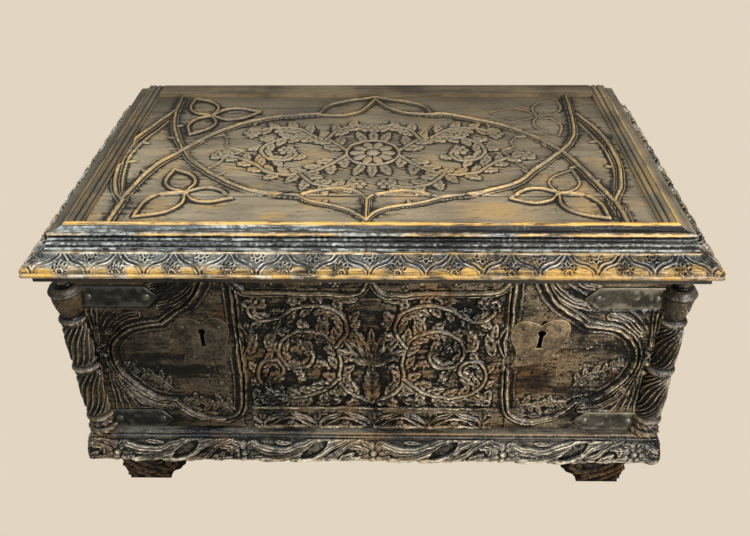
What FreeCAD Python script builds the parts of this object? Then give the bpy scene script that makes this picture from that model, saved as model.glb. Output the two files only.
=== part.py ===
import FreeCAD, Part
import math
import os
from FreeCAD import Vector

os.makedirs("parts", exist_ok=True)

# A carved oak chest with a hinged lid. Millimetres, +Z up, the carved front faces -Y.
# The origin is on the floor, under the middle of the whole chest.
# An inset is a distance inward from the outline of the lid, at the front and at both ends.

# Main sizes
lid_length = 1180.0
lid_depth = 670.0
foot_height = 62.0
plinth_height = 66.0
case_height = 450.0

# Insets of the main faces
case_inset = 48.0
plinth_inset = 15.0

# Case boards
front_thickness = 24.0
back_thickness = 20.0
end_thickness = 22.0
bottom_thickness = 20.0
bottom_rise = 12.0

# Lid, from its lowest layer up
lid_strip_height = 28.0
lid_strip_inset = 14.0
lid_frame_reach = 112.0
lid_rail_width = 98.0
cyma_height = 20.5
cyma_nose_height = 3.5
cyma_fillet_height = 3.5
cyma_run = 34.0
cyma_step = 3.0
edge_foot_inset = 38.0
edge_bead_inset = 48.0
edge_top_inset = 72.0
lid_board_thickness = 30.5
border_height = 7.0
border_side_width = 28.0
border_back_width = 52.0
border_groove_width = 4.0
border_groove_depth = 2.0
lid_joint_inset = 172.0

# Reeds, bead and cove of the lid's edge moulding
reed_count = 3
reed_bulge = 1.8
bead_height = 8.0
bead_bulge = 3.6
cove_bulge = 2.6
cove_lip = 4.0
cove_height = 8.0
lip_height = 2.0

# Carved ribs
rib_width = 15.0
rib_crest_width = 6.0
trefoil_rib_width = 9.0
rib_shoulder_share = 0.55
scroll_height = 4.0
rosette_radius = 46.0
rosette_boss_radius = 12.0
rosette_ring_gap = 3.0
rosette_ring_width = 6.0
petal_count = 10

# Corner columns
column_radius = 23.0
column_ring_radius = 27.0
column_ring_height = 14.0
column_cap_radius = 29.0
column_neck_radius = 19.0
column_abacus_radius = 21.0
column_ring_shares = (0.10, 0.435, 0.73)
column_urn_shares = (0.748, 0.905, 0.95)

# Plinth moulding
plinth_bead_height = 6.0
plinth_bead_reach = 10.0
plinth_bead_bulge = 2.0
plinth_quirk_bulge = 1.5
plinth_wave_depth = 4.0

# Feet
foot_top_length = 126.0
foot_bottom_length = 84.0
foot_top_depth = 104.0
foot_bottom_depth = 72.0
foot_end_inset = 79.0
foot_face_inset = 22.0
foot_back_inset = 5.0
foot_scroll_radius = 17.0
foot_scroll_bulge = 5.6
foot_lean = 7.0

# Carved front
relief_height = 7.0
mullion_place_share = 0.4085
mullion_width = 22.0
mullion_waist_width = 40.0
mullion_waist_height = 70.0
mullion_waist_rise = 22.0
pilaster_inset = 54.0
pilaster_width = 24.0
frieze_height = 44.0
frieze_bar_height = 6.0
arch_count = 4
arch_span = 109.0
arch_rib_width = 5.0
panel_head_drop = 72.0
panel_head_rise = 22.0
panel_head_bulge = 7.3
front_rib_width = 11.0
pod_width = 13.0
stem_width = 9.0
leaf_width_share = 0.4

# Iron straps on the corners
strap_thickness = 3.0
strap_height = 46.0
upper_strap_reach = 164.0
lower_strap_reach = 146.0
upper_strap_drop = 79.0
strap_return = 150.0
nail_head_radius = 8.0
nail_head_height = 4.0
nail_shank_radius = 2.5
nail_shank_length = 14.0

# Heart shaped escutcheons
heart_width = 108.0
heart_height = 117.0
heart_thickness = 3.0
heart_place_share = 0.5288
heart_rise_share = 0.5885
heart_tip_shift_left = 32.0
heart_tip_shift_right = 48.0
small_nail_radius = 4.0
small_nail_height = 2.5
small_shank_radius = 1.5
small_shank_length = 10.0
keyhole_radius = 7.5
keyhole_slot_width = 8.0
keyhole_length = 43.0
keyhole_rise = 29.0

# Locks behind the front board
lock_width = 130.0
lock_height = 170.0
lock_depth = 36.0
lock_sheet = 3.0
lock_top_drop = 12.0
bolt_drop = 28.0
bolt_height = 16.0
bolt_thickness = 10.0
bolt_length = 78.0
bolt_tip_gap = 6.0
bolt_arm_width = 12.0
key_reach = 28.0
keeper_width = 8.0
keeper_wall = 3.0
keeper_spacing = 18.0
drill_pin_radius = 3.0
lock_screw_radius = 2.5
lock_screw_head_radius = 5.0
lock_screw_length = 12.0
lock_ear = 16.0

# Staples under the lid
staple_offset = 32.5
staple_leg = 6.0
staple_width = 12.0
staple_plate_length = 60.0
staple_plate_thickness = 3.0
staple_slot_clearance = 4.0
staple_bridge = 7.0

# Strap hinges on the back
hinge_place_share = 0.61
hinge_width = 62.0
hinge_leaf_thickness = 3.0
hinge_case_leaf = 190.0
hinge_tip_width = 30.0
knuckle_radius = 6.5
hinge_pin_radius = 3.0
knuckle_share = 0.34
pin_head_height = 2.0
pin_head_radius = 5.0
leaf_setback = 1.0

# Fits
seat_gap = 0.3
running_clearance = 0.05
sliding_clearance = 0.5
overrun = 5.0

# Turns in degrees
quarter_turn = 90.0
full_turn = 360.0

# Levels above the floor
plinth_top = foot_height + plinth_height
joint_level = foot_height + case_height
strip_top = joint_level + lid_strip_height
cyma_top = strip_top + cyma_height
heart_level = plinth_top + heart_rise_share * (joint_level - plinth_top)
field_level = cyma_top + lid_board_thickness
lid_top = field_level + border_height

# Plan
hinge_reach = 2 * knuckle_radius + seat_gap
lid_half = lid_length / 2
front_edge = -(lid_depth + hinge_reach) / 2
back_face = front_edge + lid_depth
case_half = lid_half - case_inset
case_front = front_edge + case_inset
relief_face = case_front - relief_height
inner_front = case_front + front_thickness
inner_back = back_face - back_thickness
inner_half = case_half - end_thickness
mullion_inner = mullion_place_share * lid_half
pilaster_inner = case_half - pilaster_inset
heart_centre = heart_place_share * lid_half
hinge_centre = hinge_place_share * lid_half
board_half = lid_half - edge_top_inset
board_front = front_edge + edge_top_inset
field_half = board_half - border_side_width
field_back = back_face - border_back_width
field_depth = field_back - board_front


def block(x_low, x_high, y_low, y_high, z_low, z_high):
    corner = Vector(x_low, y_low, z_low)
    return Part.makeBox(x_high - x_low, y_high - y_low, z_high - z_low, corner)


def mirrored(shape):
    return shape.mirror(Vector(0, 0, 0), Vector(1, 0, 0))


def fused(shapes):
    return shapes[0].multiFuse(shapes[1:]).removeSplitter()


def save(name, shape):
    shape.exportStep("parts/" + name + ".step")


# An outline is a closed ring of (u, v) points. A third number makes the edge that ends
# there an arc, whose middle stands that far to the left of the straight line.
def outline_face(points, place):
    edges = []
    for number, end in enumerate(points):
        start = points[number - 1]
        bulge = end[2] if len(end) == 3 else 0
        first = place(start[0], start[1])
        last = place(end[0], end[1])
        if bulge == 0:
            edges.append(Part.LineSegment(first, last).toShape())
            continue
        span = math.hypot(end[0] - start[0], end[1] - start[1])
        middle_u = (start[0] + end[0]) / 2 - bulge * (end[1] - start[1]) / span
        middle_v = (start[1] + end[1]) / 2 + bulge * (end[0] - start[0]) / span
        edges.append(Part.Arc(first, place(middle_u, middle_v), last).toShape())
    return Part.Face(Part.Wire(edges))


def end_view(x):
    return lambda inset, z: Vector(x, front_edge + inset, z)


def side_view(side, y):
    return lambda inset, z: Vector(side * (lid_half - inset), y, z)


def front_view(y):
    return lambda x, z: Vector(x, y, z)


def plan_view(z):
    return lambda x, y: Vector(x, y, z)


def prism(points, place, direction):
    return outline_face(points, place).extrude(direction)


# Mouldings run along the front and both ends and meet at the front corners in mitres.
def mitre_front():
    reach = lid_depth / 2
    corners = ((-lid_half, front_edge), (lid_half, front_edge),
               (lid_half - reach, front_edge + reach), (-lid_half + reach, front_edge + reach))
    return prism(corners, plan_view(0), Vector(0, 0, lid_top + overrun))


def mitre_side(side):
    reach = lid_depth / 2
    corners = ((side * lid_half, front_edge), (side * lid_half, back_face),
               (side * (lid_half - reach), back_face), (side * (lid_half - reach), front_edge + reach))
    return prism(corners, plan_view(0), Vector(0, 0, lid_top + overrun))


def front_run(section):
    run = prism(section, end_view(-lid_half), Vector(lid_length, 0, 0))
    return run.common(mitre_front())


def side_run(section, side):
    run = prism(section, side_view(side, front_edge), Vector(0, lid_depth, 0))
    return run.common(mitre_side(side))


# Nails and screws stand on a face; the head is a cap cut from a ball, and the shank goes in.
def nail(foot, outward, head_radius, head_height, shank_radius, shank_length):
    ball_radius = (head_radius ** 2 + head_height ** 2) / (2 * head_height)
    lowest = math.degrees(math.asin((ball_radius - head_height) / ball_radius))
    ball_centre = foot + outward * (head_height - ball_radius)
    head = Part.makeSphere(ball_radius, ball_centre, outward, lowest, quarter_turn, full_turn)
    shank = Part.makeCylinder(shank_radius, shank_length, foot, outward * -1)
    return head.fuse(shank).removeSplitter()


def shank_hole(foot, outward, radius, length):
    start = foot + outward * overrun
    return Part.makeCylinder(radius, length + overrun, start, outward * -1)


# Feet

def foot(side, front):
    outer = lid_half - foot_end_inset
    inner = outer - foot_top_length
    low_outer = outer - foot_lean
    low_inner = low_outer - foot_bottom_length
    scroll = foot_scroll_radius
    profile = ((side * inner, foot_height), (side * outer, foot_height),
               (side * outer, foot_height - scroll), (side * low_outer, scroll, -side * foot_scroll_bulge),
               (side * low_outer, 0), (side * low_inner, 0), (side * low_inner, scroll),
               (side * inner, foot_height - scroll, side * foot_scroll_bulge))
    if front:
        face = front_edge + foot_face_inset
        inward = 1
    else:
        face = back_face - foot_back_inset
        inward = -1
    body = prism(profile, front_view(face), Vector(0, inward * foot_top_depth, 0))
    taper = ((face, foot_height), (face + inward * foot_top_depth, foot_height),
             (face + inward * foot_bottom_depth, 0), (face, 0))
    trim = prism(taper, lambda y, z: Vector(-lid_half, y, z), Vector(lid_length, 0, 0))
    return body.common(trim)


# Case boards

def keyhole_profile(centre):
    top = heart_level + keyhole_rise
    round_level = top - keyhole_radius
    slot_foot = top - keyhole_length
    half = keyhole_slot_width / 2
    return ((centre - half, slot_foot), (centre + half, slot_foot), (centre + half, round_level),
            (centre - half, round_level)), round_level


def keyhole(centre, y_low, y_high):
    slot, round_level = keyhole_profile(centre)
    cut = prism(slot, front_view(y_low), Vector(0, y_high - y_low, 0))
    start = Vector(centre, y_low, round_level)
    ring = Part.makeCylinder(keyhole_radius, y_high - y_low, start, Vector(0, 1, 0))
    return cut.fuse(ring)


# A rib of constant width along the circle through three points, as a plain band and a crest.
def band(points, width, place, direction):
    first, middle, last = (place(u, v) for u, v in points)
    circle = Part.Arc(first, middle, last).toShape().Curve
    edges = []
    rails = []
    for shift in (-width / 2, width / 2):
        rails.append([point + (point - circle.Center).normalize() * shift
                      for point in (first, middle, last)])
    edges.append(Part.Arc(*rails[0]).toShape())
    edges.append(Part.LineSegment(rails[0][2], rails[1][2]).toShape())
    edges.append(Part.Arc(rails[1][2], rails[1][1], rails[1][0]).toShape())
    edges.append(Part.LineSegment(rails[1][0], rails[0][0]).toShape())
    return Part.Face(Part.Wire(edges)).extrude(direction)


# A leaf is a lens between two arcs.
def carved_leaf(root, tip, direction):
    along = tip - root
    across = along.cross(direction).normalize() * along.Length * leaf_width_share / 2
    middle = (root + tip) * 0.5
    sides = [Part.Arc(root, middle + across, tip).toShape(), Part.Arc(tip, middle - across, root).toShape()]
    return Part.Face(Part.Wire(sides)).extrude(direction)


def stepped_rib(points, width, crest_width, place, rise):
    shoulder = band(points, width, place, rise * rib_shoulder_share)
    return shoulder.fuse(band(points, crest_width, place, rise))


# Front tracery on one half of the chest: x as a share of the span from mullion to pilaster,
# z as a share of the height from plinth to joint.
side_tracery_shares = (
    ((1.01, 0.575), (0.81, 0.69), (0.58, 0.70)),
    ((0.58, 0.70), (0.47, 0.80), (0.25, 0.93)),
    ((1.03, 0.385), (0.92, 0.24), (0.59, 0.185)),
    ((0.59, 0.185), (0.34, 0.042), (0.04, 0.11)),
)


# Long leaves between the tracery and the straps, placed by the same shares
side_pod_shares = (
    ((0.196, 0.960), (0.333, 0.865), (0.538, 0.802)),
    ((0.742, 0.753), (0.920, 0.706), (1.000, 0.654)),
    ((0.627, 0.146), (0.884, 0.208), (0.964, 0.276)),
)

# Scrolls of the centre panel on one half: x as a share of the half width, z as above
panel_scroll_shares = (
    ((0.033, 0.203), (0.257, 0.339), (0.241, 0.469)),
    ((0.241, 0.469), (0.481, 0.656), (0.714, 0.505)),
    ((0.714, 0.505), (0.573, 0.430), (0.506, 0.526)),
    ((0.249, 0.349), (0.606, 0.219), (0.896, 0.349)),
    ((0.896, 0.349), (0.788, 0.464), (0.689, 0.396)),
    ((0.274, 0.552), (0.224, 0.755), (0.382, 0.807)),
    ((0.382, 0.807), (0.564, 0.792), (0.697, 0.734)),
    ((0.697, 0.734), (0.846, 0.719), (0.921, 0.776)),
)

# Leaves of the centre panel, from stalk to tip
panel_leaf_shares = (
    ((0.020, 0.443), (0.115, 0.655)), ((0.030, 0.443), (0.209, 0.607)), ((0.040, 0.440), (0.264, 0.538)),
    ((0.249, 0.198), (0.448, 0.177)), ((0.697, 0.203), (0.896, 0.182)), ((0.938, 0.578), (0.946, 0.698)),
    ((0.622, 0.828), (0.465, 0.859)), ((0.407, 0.651), (0.324, 0.760)), ((0.930, 0.500), (0.880, 0.635)),
)
middle_leaf_shares = (((0, 0.177), (0, 0.443)), ((0, 0.453), (0, 0.672)))


def front_place(span_low, span_high):
    return lambda u, v: Vector(span_low + u * (span_high - span_low), case_front,
                               plinth_top + v * (joint_level - plinth_top))


def front_relief():
    raise_out = Vector(0, -relief_height, 0)
    pieces = []
    for side in (-1, 1):
        place = front_place(side * (mullion_inner + mullion_width), side * pilaster_inner)
        for points in side_tracery_shares:
            pieces.append(band(points, front_rib_width, place, raise_out))
        for points in side_pod_shares:
            pieces.append(band(points, pod_width, place, raise_out))
        panel_place = front_place(0, side * mullion_inner)
        for points in panel_scroll_shares:
            pieces.append(band(points, stem_width, panel_place, raise_out))
        for root, tip in panel_leaf_shares:
            pieces.append(carved_leaf(panel_place(*root), panel_place(*tip), raise_out))
        pieces.append(mullion(side, raise_out))
        pieces.append(pilaster(side, raise_out))
    middle_place = front_place(0, mullion_inner)
    for root, tip in middle_leaf_shares:
        pieces.append(carved_leaf(middle_place(*root), middle_place(*tip), raise_out))
    pieces.extend(frieze(raise_out))
    pieces.append(panel_head(raise_out))
    return pieces


def mullion(side, raise_out):
    low = mullion_inner
    high = mullion_inner + mullion_width
    waist_level = (plinth_top + joint_level) / 2 + mullion_waist_rise
    bulge = (mullion_waist_width - mullion_width) / 2
    half = mullion_waist_height / 2
    points = ((side * low, plinth_top), (side * high, plinth_top), (side * high, waist_level - half),
              (side * (high + bulge), waist_level), (side * high, waist_level + half),
              (side * high, joint_level), (side * low, joint_level), (side * low, waist_level + half),
              (side * (low - bulge), waist_level), (side * low, waist_level - half))
    return prism(points, front_view(case_front), raise_out)


def pilaster(side, raise_out):
    low = pilaster_inner
    high = pilaster_inner + pilaster_width
    head = upper_strap_level() - strap_height / 2 - sliding_clearance
    base = lower_strap_level() + strap_height / 2 + sliding_clearance
    middle = (low + high) / 2
    points = ((side * low, base), (side * high, base), (side * high, head - pilaster_width),
              (side * middle, head), (side * low, head - pilaster_width))
    return prism(points, front_view(case_front), raise_out)


# Low arches under the centre panel, with a bar above and below them
def frieze(raise_out):
    shapes = []
    base = plinth_top
    crown = plinth_top + frieze_height
    for level in (base, crown):
        shapes.append(block(-mullion_inner, mullion_inner, case_front + raise_out.y, case_front,
                            level, level + frieze_bar_height))
    place = front_view(case_front)
    for number in range(arch_count):
        left = (number - arch_count / 2) * arch_span
        inset = arch_rib_width / 2
        points = ((left + inset, base + frieze_bar_height / 2), (left + arch_span / 2, crown),
                  (left + arch_span - inset, base + frieze_bar_height / 2))
        shapes.append(band(points, arch_rib_width, place, raise_out))
    return shapes


# The head of the centre panel: a bar whose lower edge rises to a point in the middle
def panel_head(raise_out):
    top = joint_level
    level = joint_level - panel_head_drop
    peak = level + panel_head_rise
    bulge = panel_head_bulge
    points = ((-mullion_inner, top), (-mullion_inner, level), (-mullion_inner / 2, level, bulge),
              (0, peak, -bulge), (mullion_inner / 2, level, -bulge), (mullion_inner, level, bulge),
              (mullion_inner, top))
    return prism(points, front_view(case_front), raise_out)


def upper_strap_level():
    return joint_level - upper_strap_drop + strap_height / 2


def lower_strap_level():
    return plinth_top + seat_gap + strap_height / 2


# Straps lie over the flat board, so the carving stops at their edges.
def strap_profile(side, level, reach, grow):
    outer = case_half
    tip = outer - reach - grow
    neck = tip + strap_height / 2
    half = strap_height / 2 + grow
    return ((side * outer, level - half), (side * outer, level + half), (side * neck, level + half),
            (side * tip, level), (side * neck, level - half))


def front_board():
    board = block(-case_half, case_half, case_front, inner_front, foot_height, joint_level)
    board = fused([board] + front_relief())
    for side in (-1, 1):
        board = board.cut(keyhole(side * heart_centre, relief_face - overrun, inner_front + overrun))
        for level, reach in strap_rows():
            seat = prism(strap_profile(side, level, reach, sliding_clearance), front_view(case_front),
                         Vector(0, -relief_height - overrun, 0))
            board = board.cut(seat)
        board = board.cut(heart_plate(side, sliding_clearance, relief_height + overrun))
    return board.cut(front_holes())


def strap_rows():
    return ((upper_strap_level(), upper_strap_reach), (lower_strap_level(), lower_strap_reach))


def back_board():
    board = block(-case_half, case_half, inner_back, back_face, foot_height, joint_level)
    return board.cut(back_holes())


def end_board(side):
    board = block(inner_half, case_half, inner_front, inner_back, foot_height, joint_level)
    board = board if side > 0 else mirrored(board)
    return board.cut(end_holes(side))


def bottom_board():
    low = foot_height + bottom_rise
    return block(-inner_half, inner_half, inner_front, inner_back, low, low + bottom_thickness)


# Plinth moulding, planted on the outside of the case

def plinth_section():
    back = case_inset
    bead = plinth_bead_height
    shoulder = plinth_inset + plinth_bead_reach
    return ((back, foot_height), (back, plinth_top), (shoulder + bead, plinth_top),
            (shoulder, plinth_top - bead / 2, plinth_quirk_bulge),
            (plinth_inset, plinth_top - bead, plinth_bead_bulge),
            (plinth_inset, foot_height + plinth_wave_depth),
            (plinth_inset + plinth_wave_depth, foot_height))


# Corner columns: turned shafts with a quarter cut away, so that they close on the corner

def column():
    x = case_half
    y = case_front
    base = plinth_top
    height = joint_level - base
    ring = column_ring_height
    urn_foot, urn_brim, urn_top = (base + share * height for share in column_urn_shares)
    shapes = [Part.makeCylinder(column_radius, urn_foot - base, Vector(x, y, base))]
    for share in column_ring_shares:
        shapes.append(turned_ring(x, y, base + share * height - ring / 2, ring))
    shapes.append(turned_ring(x, y, base, ring))
    shapes.append(Part.makeCone(column_neck_radius, column_cap_radius, urn_brim - urn_foot,
                                Vector(x, y, urn_foot)))
    shapes.append(Part.makeCone(column_cap_radius, column_abacus_radius, urn_top - urn_brim,
                                Vector(x, y, urn_brim)))
    shapes.append(Part.makeCylinder(column_abacus_radius, joint_level - urn_top, Vector(x, y, urn_top)))
    whole = fused(shapes)
    corner = block(0, case_half, case_front, back_face, 0, lid_top)
    whole = whole.cut(corner)
    for level, reach in strap_rows():
        whole = whole.cut(corner_strap_solid(level, reach))
    return whole


def turned_ring(x, y, low, height):
    reach = column_ring_radius - column_radius
    points = ((0, low), (column_radius, low), (column_radius, low + height, -reach), (0, low + height))
    face = outline_face(points, lambda radius, z: Vector(x + radius, y, z))
    return face.revolve(Vector(x, y, 0), Vector(0, 0, 1), full_turn)


# Iron straps, bent round the corner under the column

def corner_strap_solid(level, reach):
    outer = case_half + strap_thickness
    face = case_front - strap_thickness
    half = strap_height / 2
    tip = case_half - reach
    neck = tip + half
    front = ((outer, level - half), (outer, level + half), (neck, level + half), (tip, level),
             (neck, level - half))
    plate = prism(front, front_view(face), Vector(0, strap_thickness, 0))
    end = case_front + strap_return
    side = ((face, level - half), (face, level + half), (end - half, level + half), (end, level),
            (end - half, level - half))
    leaf = prism(side, lambda y, z: Vector(case_half, y, z), Vector(strap_thickness, 0, 0))
    return fused([plate, leaf])


def strap_nail_places(side):
    places = []
    outward_front = Vector(0, -1, 0)
    outward_side = Vector(side, 0, 0)
    for level, reach in strap_rows():
        inner = case_half - reach + strap_height / 2
        outer = case_half - column_cap_radius - nail_head_radius
        for x in (inner, outer):
            places.append((Vector(side * x, case_front - strap_thickness, level), outward_front))
        near = case_front + column_cap_radius + nail_head_radius
        far = case_front + strap_return - strap_height / 2
        for y in (near, far):
            places.append((Vector(side * (case_half + strap_thickness), y, level), outward_side))
    return places


def strap_nails():
    return [nail(foot_point, outward, nail_head_radius, nail_head_height, nail_shank_radius,
                 nail_shank_length)
            for side in (-1, 1) for foot_point, outward in strap_nail_places(side)]


def corner_strap(side, level, reach):
    strap = corner_strap_solid(level, reach)
    if side < 0:
        strap = mirrored(strap)
    holes = [shank_hole(foot_point, outward, nail_shank_radius, nail_shank_length)
             for foot_point, outward in strap_nail_places(side)]
    return strap.cut(Part.makeCompound(holes))


def side_holes(side, outward):
    return [shank_hole(foot_point, direction, nail_shank_radius, nail_shank_length)
            for foot_point, direction in strap_nail_places(side) if direction.dot(outward) > 0]


# Escutcheons: a heart with its tip leaning to the left

# Heights of shoulder and notch as shares of the half height, bulges as shares of the width
shoulder_share = 0.35
notch_share = 0.80
heart_side_share = 0.07
heart_lobe_share = 0.17
heart_nail_shares = ((-0.62, 0.56), (0.62, 0.56))
tip_nail_share = 0.68


def heart_tip_shift(side):
    return heart_tip_shift_right if side > 0 else heart_tip_shift_left


def heart_plate(side, grow, thickness):
    half = heart_width / 2 + grow
    tall = heart_height / 2 + grow
    centre = side * heart_centre
    shoulder = heart_level + tall * shoulder_share
    notch = heart_level + tall * notch_share
    points = ((centre - heart_tip_shift(side), heart_level - tall, -heart_width * heart_side_share),
              (centre + half, shoulder, -heart_width * heart_side_share),
              (centre, notch, -heart_width * heart_lobe_share),
              (centre - half, shoulder, -heart_width * heart_lobe_share))
    return prism(points, front_view(case_front), Vector(0, -thickness, 0))


def heart_nail_places(side):
    centre = side * heart_centre
    places = [(centre + u * heart_width / 2, heart_level + v * heart_height / 2)
              for u, v in heart_nail_shares]
    places.append((centre - heart_tip_shift(side) * tip_nail_share,
                   heart_level - heart_height / 2 * tip_nail_share))
    return [Vector(x, case_front - heart_thickness, z) for x, z in places]


def escutcheon(side):
    plate = heart_plate(side, 0, heart_thickness)
    plate = plate.cut(keyhole(side * heart_centre, relief_face - overrun, inner_front))
    outward = Vector(0, -1, 0)
    holes = [shank_hole(point, outward, small_shank_radius, small_shank_length)
             for point in heart_nail_places(side)]
    return plate.cut(Part.makeCompound(holes))


def escutcheon_nails():
    outward = Vector(0, -1, 0)
    return [nail(point, outward, small_nail_radius, small_nail_height, small_shank_radius,
                 small_shank_length)
            for side in (-1, 1) for point in heart_nail_places(side)]


# Locks: a sheet iron box open towards the front board, with ears for its screws

lock_top = joint_level - lock_top_drop
lock_bottom = lock_top - lock_height
lock_back = inner_front + lock_depth
bolt_level = lock_top - bolt_drop
staple_middle = inner_front + (lock_depth - lock_sheet) / 2
staple_front = staple_middle - staple_leg - bolt_thickness / 2 - sliding_clearance
staple_back = staple_front + 2 * staple_leg + bolt_thickness + 2 * sliding_clearance
bolt_front = staple_front + staple_leg + sliding_clearance
staple_foot = bolt_level - bolt_height / 2 - sliding_clearance - staple_bridge


def lock_case(side):
    centre = side * heart_centre
    half = lock_width / 2
    shell = block(centre - half, centre + half, inner_front, lock_back, lock_bottom, lock_top)
    hollow = block(centre - half + lock_sheet, centre + half - lock_sheet, inner_front - overrun,
                   lock_back - lock_sheet, lock_bottom + lock_sheet, lock_top - lock_sheet)
    shell = shell.cut(hollow)
    for direction in (-1, 1):
        edge = centre + direction * half
        ear = block(min(edge, edge + direction * lock_ear), max(edge, edge + direction * lock_ear),
                    inner_front, inner_front + lock_sheet, lock_bottom, lock_top)
        shell = shell.fuse(ear)
    staple_x = centre + staple_offset
    wide = staple_width / 2 + staple_slot_clearance
    slot = block(staple_x - wide, staple_x + wide, inner_front, staple_back + staple_slot_clearance,
                 lock_top - lock_sheet - overrun, lock_top + overrun)
    shell = shell.cut(slot).fuse(keepers(centre)).removeSplitter()
    return shell.cut(Part.makeCompound([shank_hole(p, Vector(0, 1, 0), lock_screw_radius, lock_screw_length)
                                        for p in lock_screw_places(side)]))


# Two keepers on the back sheet hold the bolt and let it slide.
def keepers(centre):
    shapes = []
    gap = sliding_clearance
    wall = gap + keeper_wall
    half = bolt_height / 2
    back = bolt_front + bolt_thickness + gap
    for number in (0, 1):
        right = centre - bolt_arm_width - number * keeper_spacing
        body = block(right - keeper_width, right, bolt_front - wall, lock_back - lock_sheet,
                     bolt_level - half - wall, bolt_level + half + wall)
        way = block(right - keeper_width - overrun, right + overrun, bolt_front - gap, back,
                    bolt_level - half - gap, bolt_level + half + gap)
        shapes.append(body.cut(way))
    return Part.makeCompound(shapes)


# The arm under the bolt hangs down to where the bit of a key reaches it.
def lock_bolt(side):
    centre = side * heart_centre
    head = centre + staple_offset - staple_width / 2 - bolt_tip_gap
    bar = block(head - bolt_length, head, bolt_front, bolt_front + bolt_thickness,
                bolt_level - bolt_height / 2, bolt_level + bolt_height / 2)
    arm_foot = keyhole_profile(centre)[1] + key_reach
    arm = block(centre - bolt_arm_width / 2, centre + bolt_arm_width / 2, bolt_front,
                bolt_front + bolt_thickness, arm_foot, bolt_level)
    return bar.fuse(arm).removeSplitter()


def drill_pin(side):
    round_level = keyhole_profile(side * heart_centre)[1]
    back = lock_back - lock_sheet
    start = Vector(side * heart_centre, inner_front, round_level)
    return Part.makeCylinder(drill_pin_radius, back - inner_front, start, Vector(0, 1, 0))


def lock_screw_places(side):
    centre = side * heart_centre
    spots = []
    for direction in (-1, 1):
        x = centre + direction * (lock_width / 2 + lock_ear / 2)
        for z in (lock_bottom + lock_ear, lock_top - lock_ear):
            spots.append(Vector(x, inner_front + lock_sheet, z))
    return spots


def lock_screws():
    return [nail(point, Vector(0, 1, 0), lock_screw_head_radius, small_nail_height, lock_screw_radius,
                 lock_screw_length)
            for side in (-1, 1) for point in lock_screw_places(side)]


# Staples: a plate let into the underside of the lid and a loop that drops into the lock
def staple(side):
    x = side * heart_centre + staple_offset
    half = staple_width / 2
    loop = block(x - half, x + half, staple_front, staple_back, staple_foot, joint_level)
    eye = block(x - half - overrun, x + half + overrun, staple_front + staple_leg,
                staple_back - staple_leg, staple_foot + staple_bridge, joint_level)
    return loop.cut(eye).fuse(staple_plate(side)).removeSplitter()


def staple_plate(side):
    x = side * heart_centre + staple_offset
    half = staple_plate_length / 2
    return block(x - half, x + half, staple_front, staple_back, joint_level,
                 joint_level + staple_plate_thickness)


def front_holes():
    holes = []
    outward = Vector(0, -1, 0)
    for side in (-1, 1):
        holes.extend(side_holes(side, outward))
        holes.extend(shank_hole(point, outward, small_shank_radius, small_shank_length)
                     for point in heart_nail_places(side))
        holes.extend(shank_hole(point, Vector(0, 1, 0), lock_screw_radius, lock_screw_length)
                     for point in lock_screw_places(side))
    return Part.makeCompound(holes)


def end_holes(side):
    return Part.makeCompound(side_holes(side, Vector(side, 0, 0)))


# Hinges: one leaf down the back of the case, one up the back of the lid, and a pin

hinge_axis_y = back_face + knuckle_radius + seat_gap
knuckle_length = hinge_width * knuckle_share
case_hinge_nail_shares = (0.22, 0.5, 0.78)


def knuckle(x_low, x_high, bore):
    barrel = Part.makeCylinder(knuckle_radius, x_high - x_low, Vector(x_low, hinge_axis_y, joint_level),
                               Vector(1, 0, 0))
    hole = Part.makeCylinder(bore, x_high - x_low + 2 * overrun,
                             Vector(x_low - overrun, hinge_axis_y, joint_level), Vector(1, 0, 0))
    return barrel, hole


def case_leaf(side):
    centre = side * hinge_centre
    half = hinge_width / 2
    start = joint_level - knuckle_radius - leaf_setback
    foot_level = joint_level - hinge_case_leaf
    tip = hinge_tip_width / 2
    points = ((centre - half, start), (centre + half, start), (centre + tip, foot_level + tip),
              (centre, foot_level), (centre - tip, foot_level + tip))
    leaf = prism(points, front_view(back_face), Vector(0, hinge_leaf_thickness, 0))
    return knuckled(leaf, centre, (-1, 1), -1, hinge_pin_radius)


def knuckled(leaf, centre, ends, direction, bore):
    half = hinge_width / 2
    shapes = [leaf]
    holes = []
    inner = knuckle_length / 2
    for end in ends:
        if end == 0:
            x_low = centre - inner + sliding_clearance
            x_high = centre + inner - sliding_clearance
        else:
            x_low = centre + inner if end > 0 else centre - half
            x_high = centre + half if end > 0 else centre - inner
        barrel, hole = knuckle(x_low, x_high, bore)
        reach = direction * (knuckle_radius + leaf_setback + seat_gap)
        level = joint_level + reach
        web = block(x_low, x_high, back_face, back_face + hinge_leaf_thickness,
                    min(joint_level, level), max(joint_level, level))
        shapes.extend((barrel, web))
        holes.append(hole)
    return fused(shapes).cut(Part.makeCompound(holes))


def lid_leaf(side):
    centre = side * hinge_centre
    half = hinge_width / 2
    start = joint_level + knuckle_radius + leaf_setback
    leaf = block(centre - half, centre + half, back_face, back_face + hinge_leaf_thickness,
                 start, lid_leaf_top())
    return knuckled(leaf, centre, (0,), 1, hinge_pin_radius + running_clearance)


def lid_leaf_top():
    return cyma_top + lid_board_thickness / 2


def hinge_pin(side):
    centre = side * hinge_centre
    half = hinge_width / 2
    start = Vector(centre - half, hinge_axis_y, joint_level)
    shank = Part.makeCylinder(hinge_pin_radius, hinge_width, start, Vector(1, 0, 0))
    head = Part.makeCylinder(pin_head_radius, pin_head_height,
                             Vector(centre + half, hinge_axis_y, joint_level), Vector(1, 0, 0))
    foot_head = Part.makeCylinder(pin_head_radius, pin_head_height,
                                  Vector(centre - half - pin_head_height, hinge_axis_y, joint_level),
                                  Vector(1, 0, 0))
    return fused([shank, head, foot_head])


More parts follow.
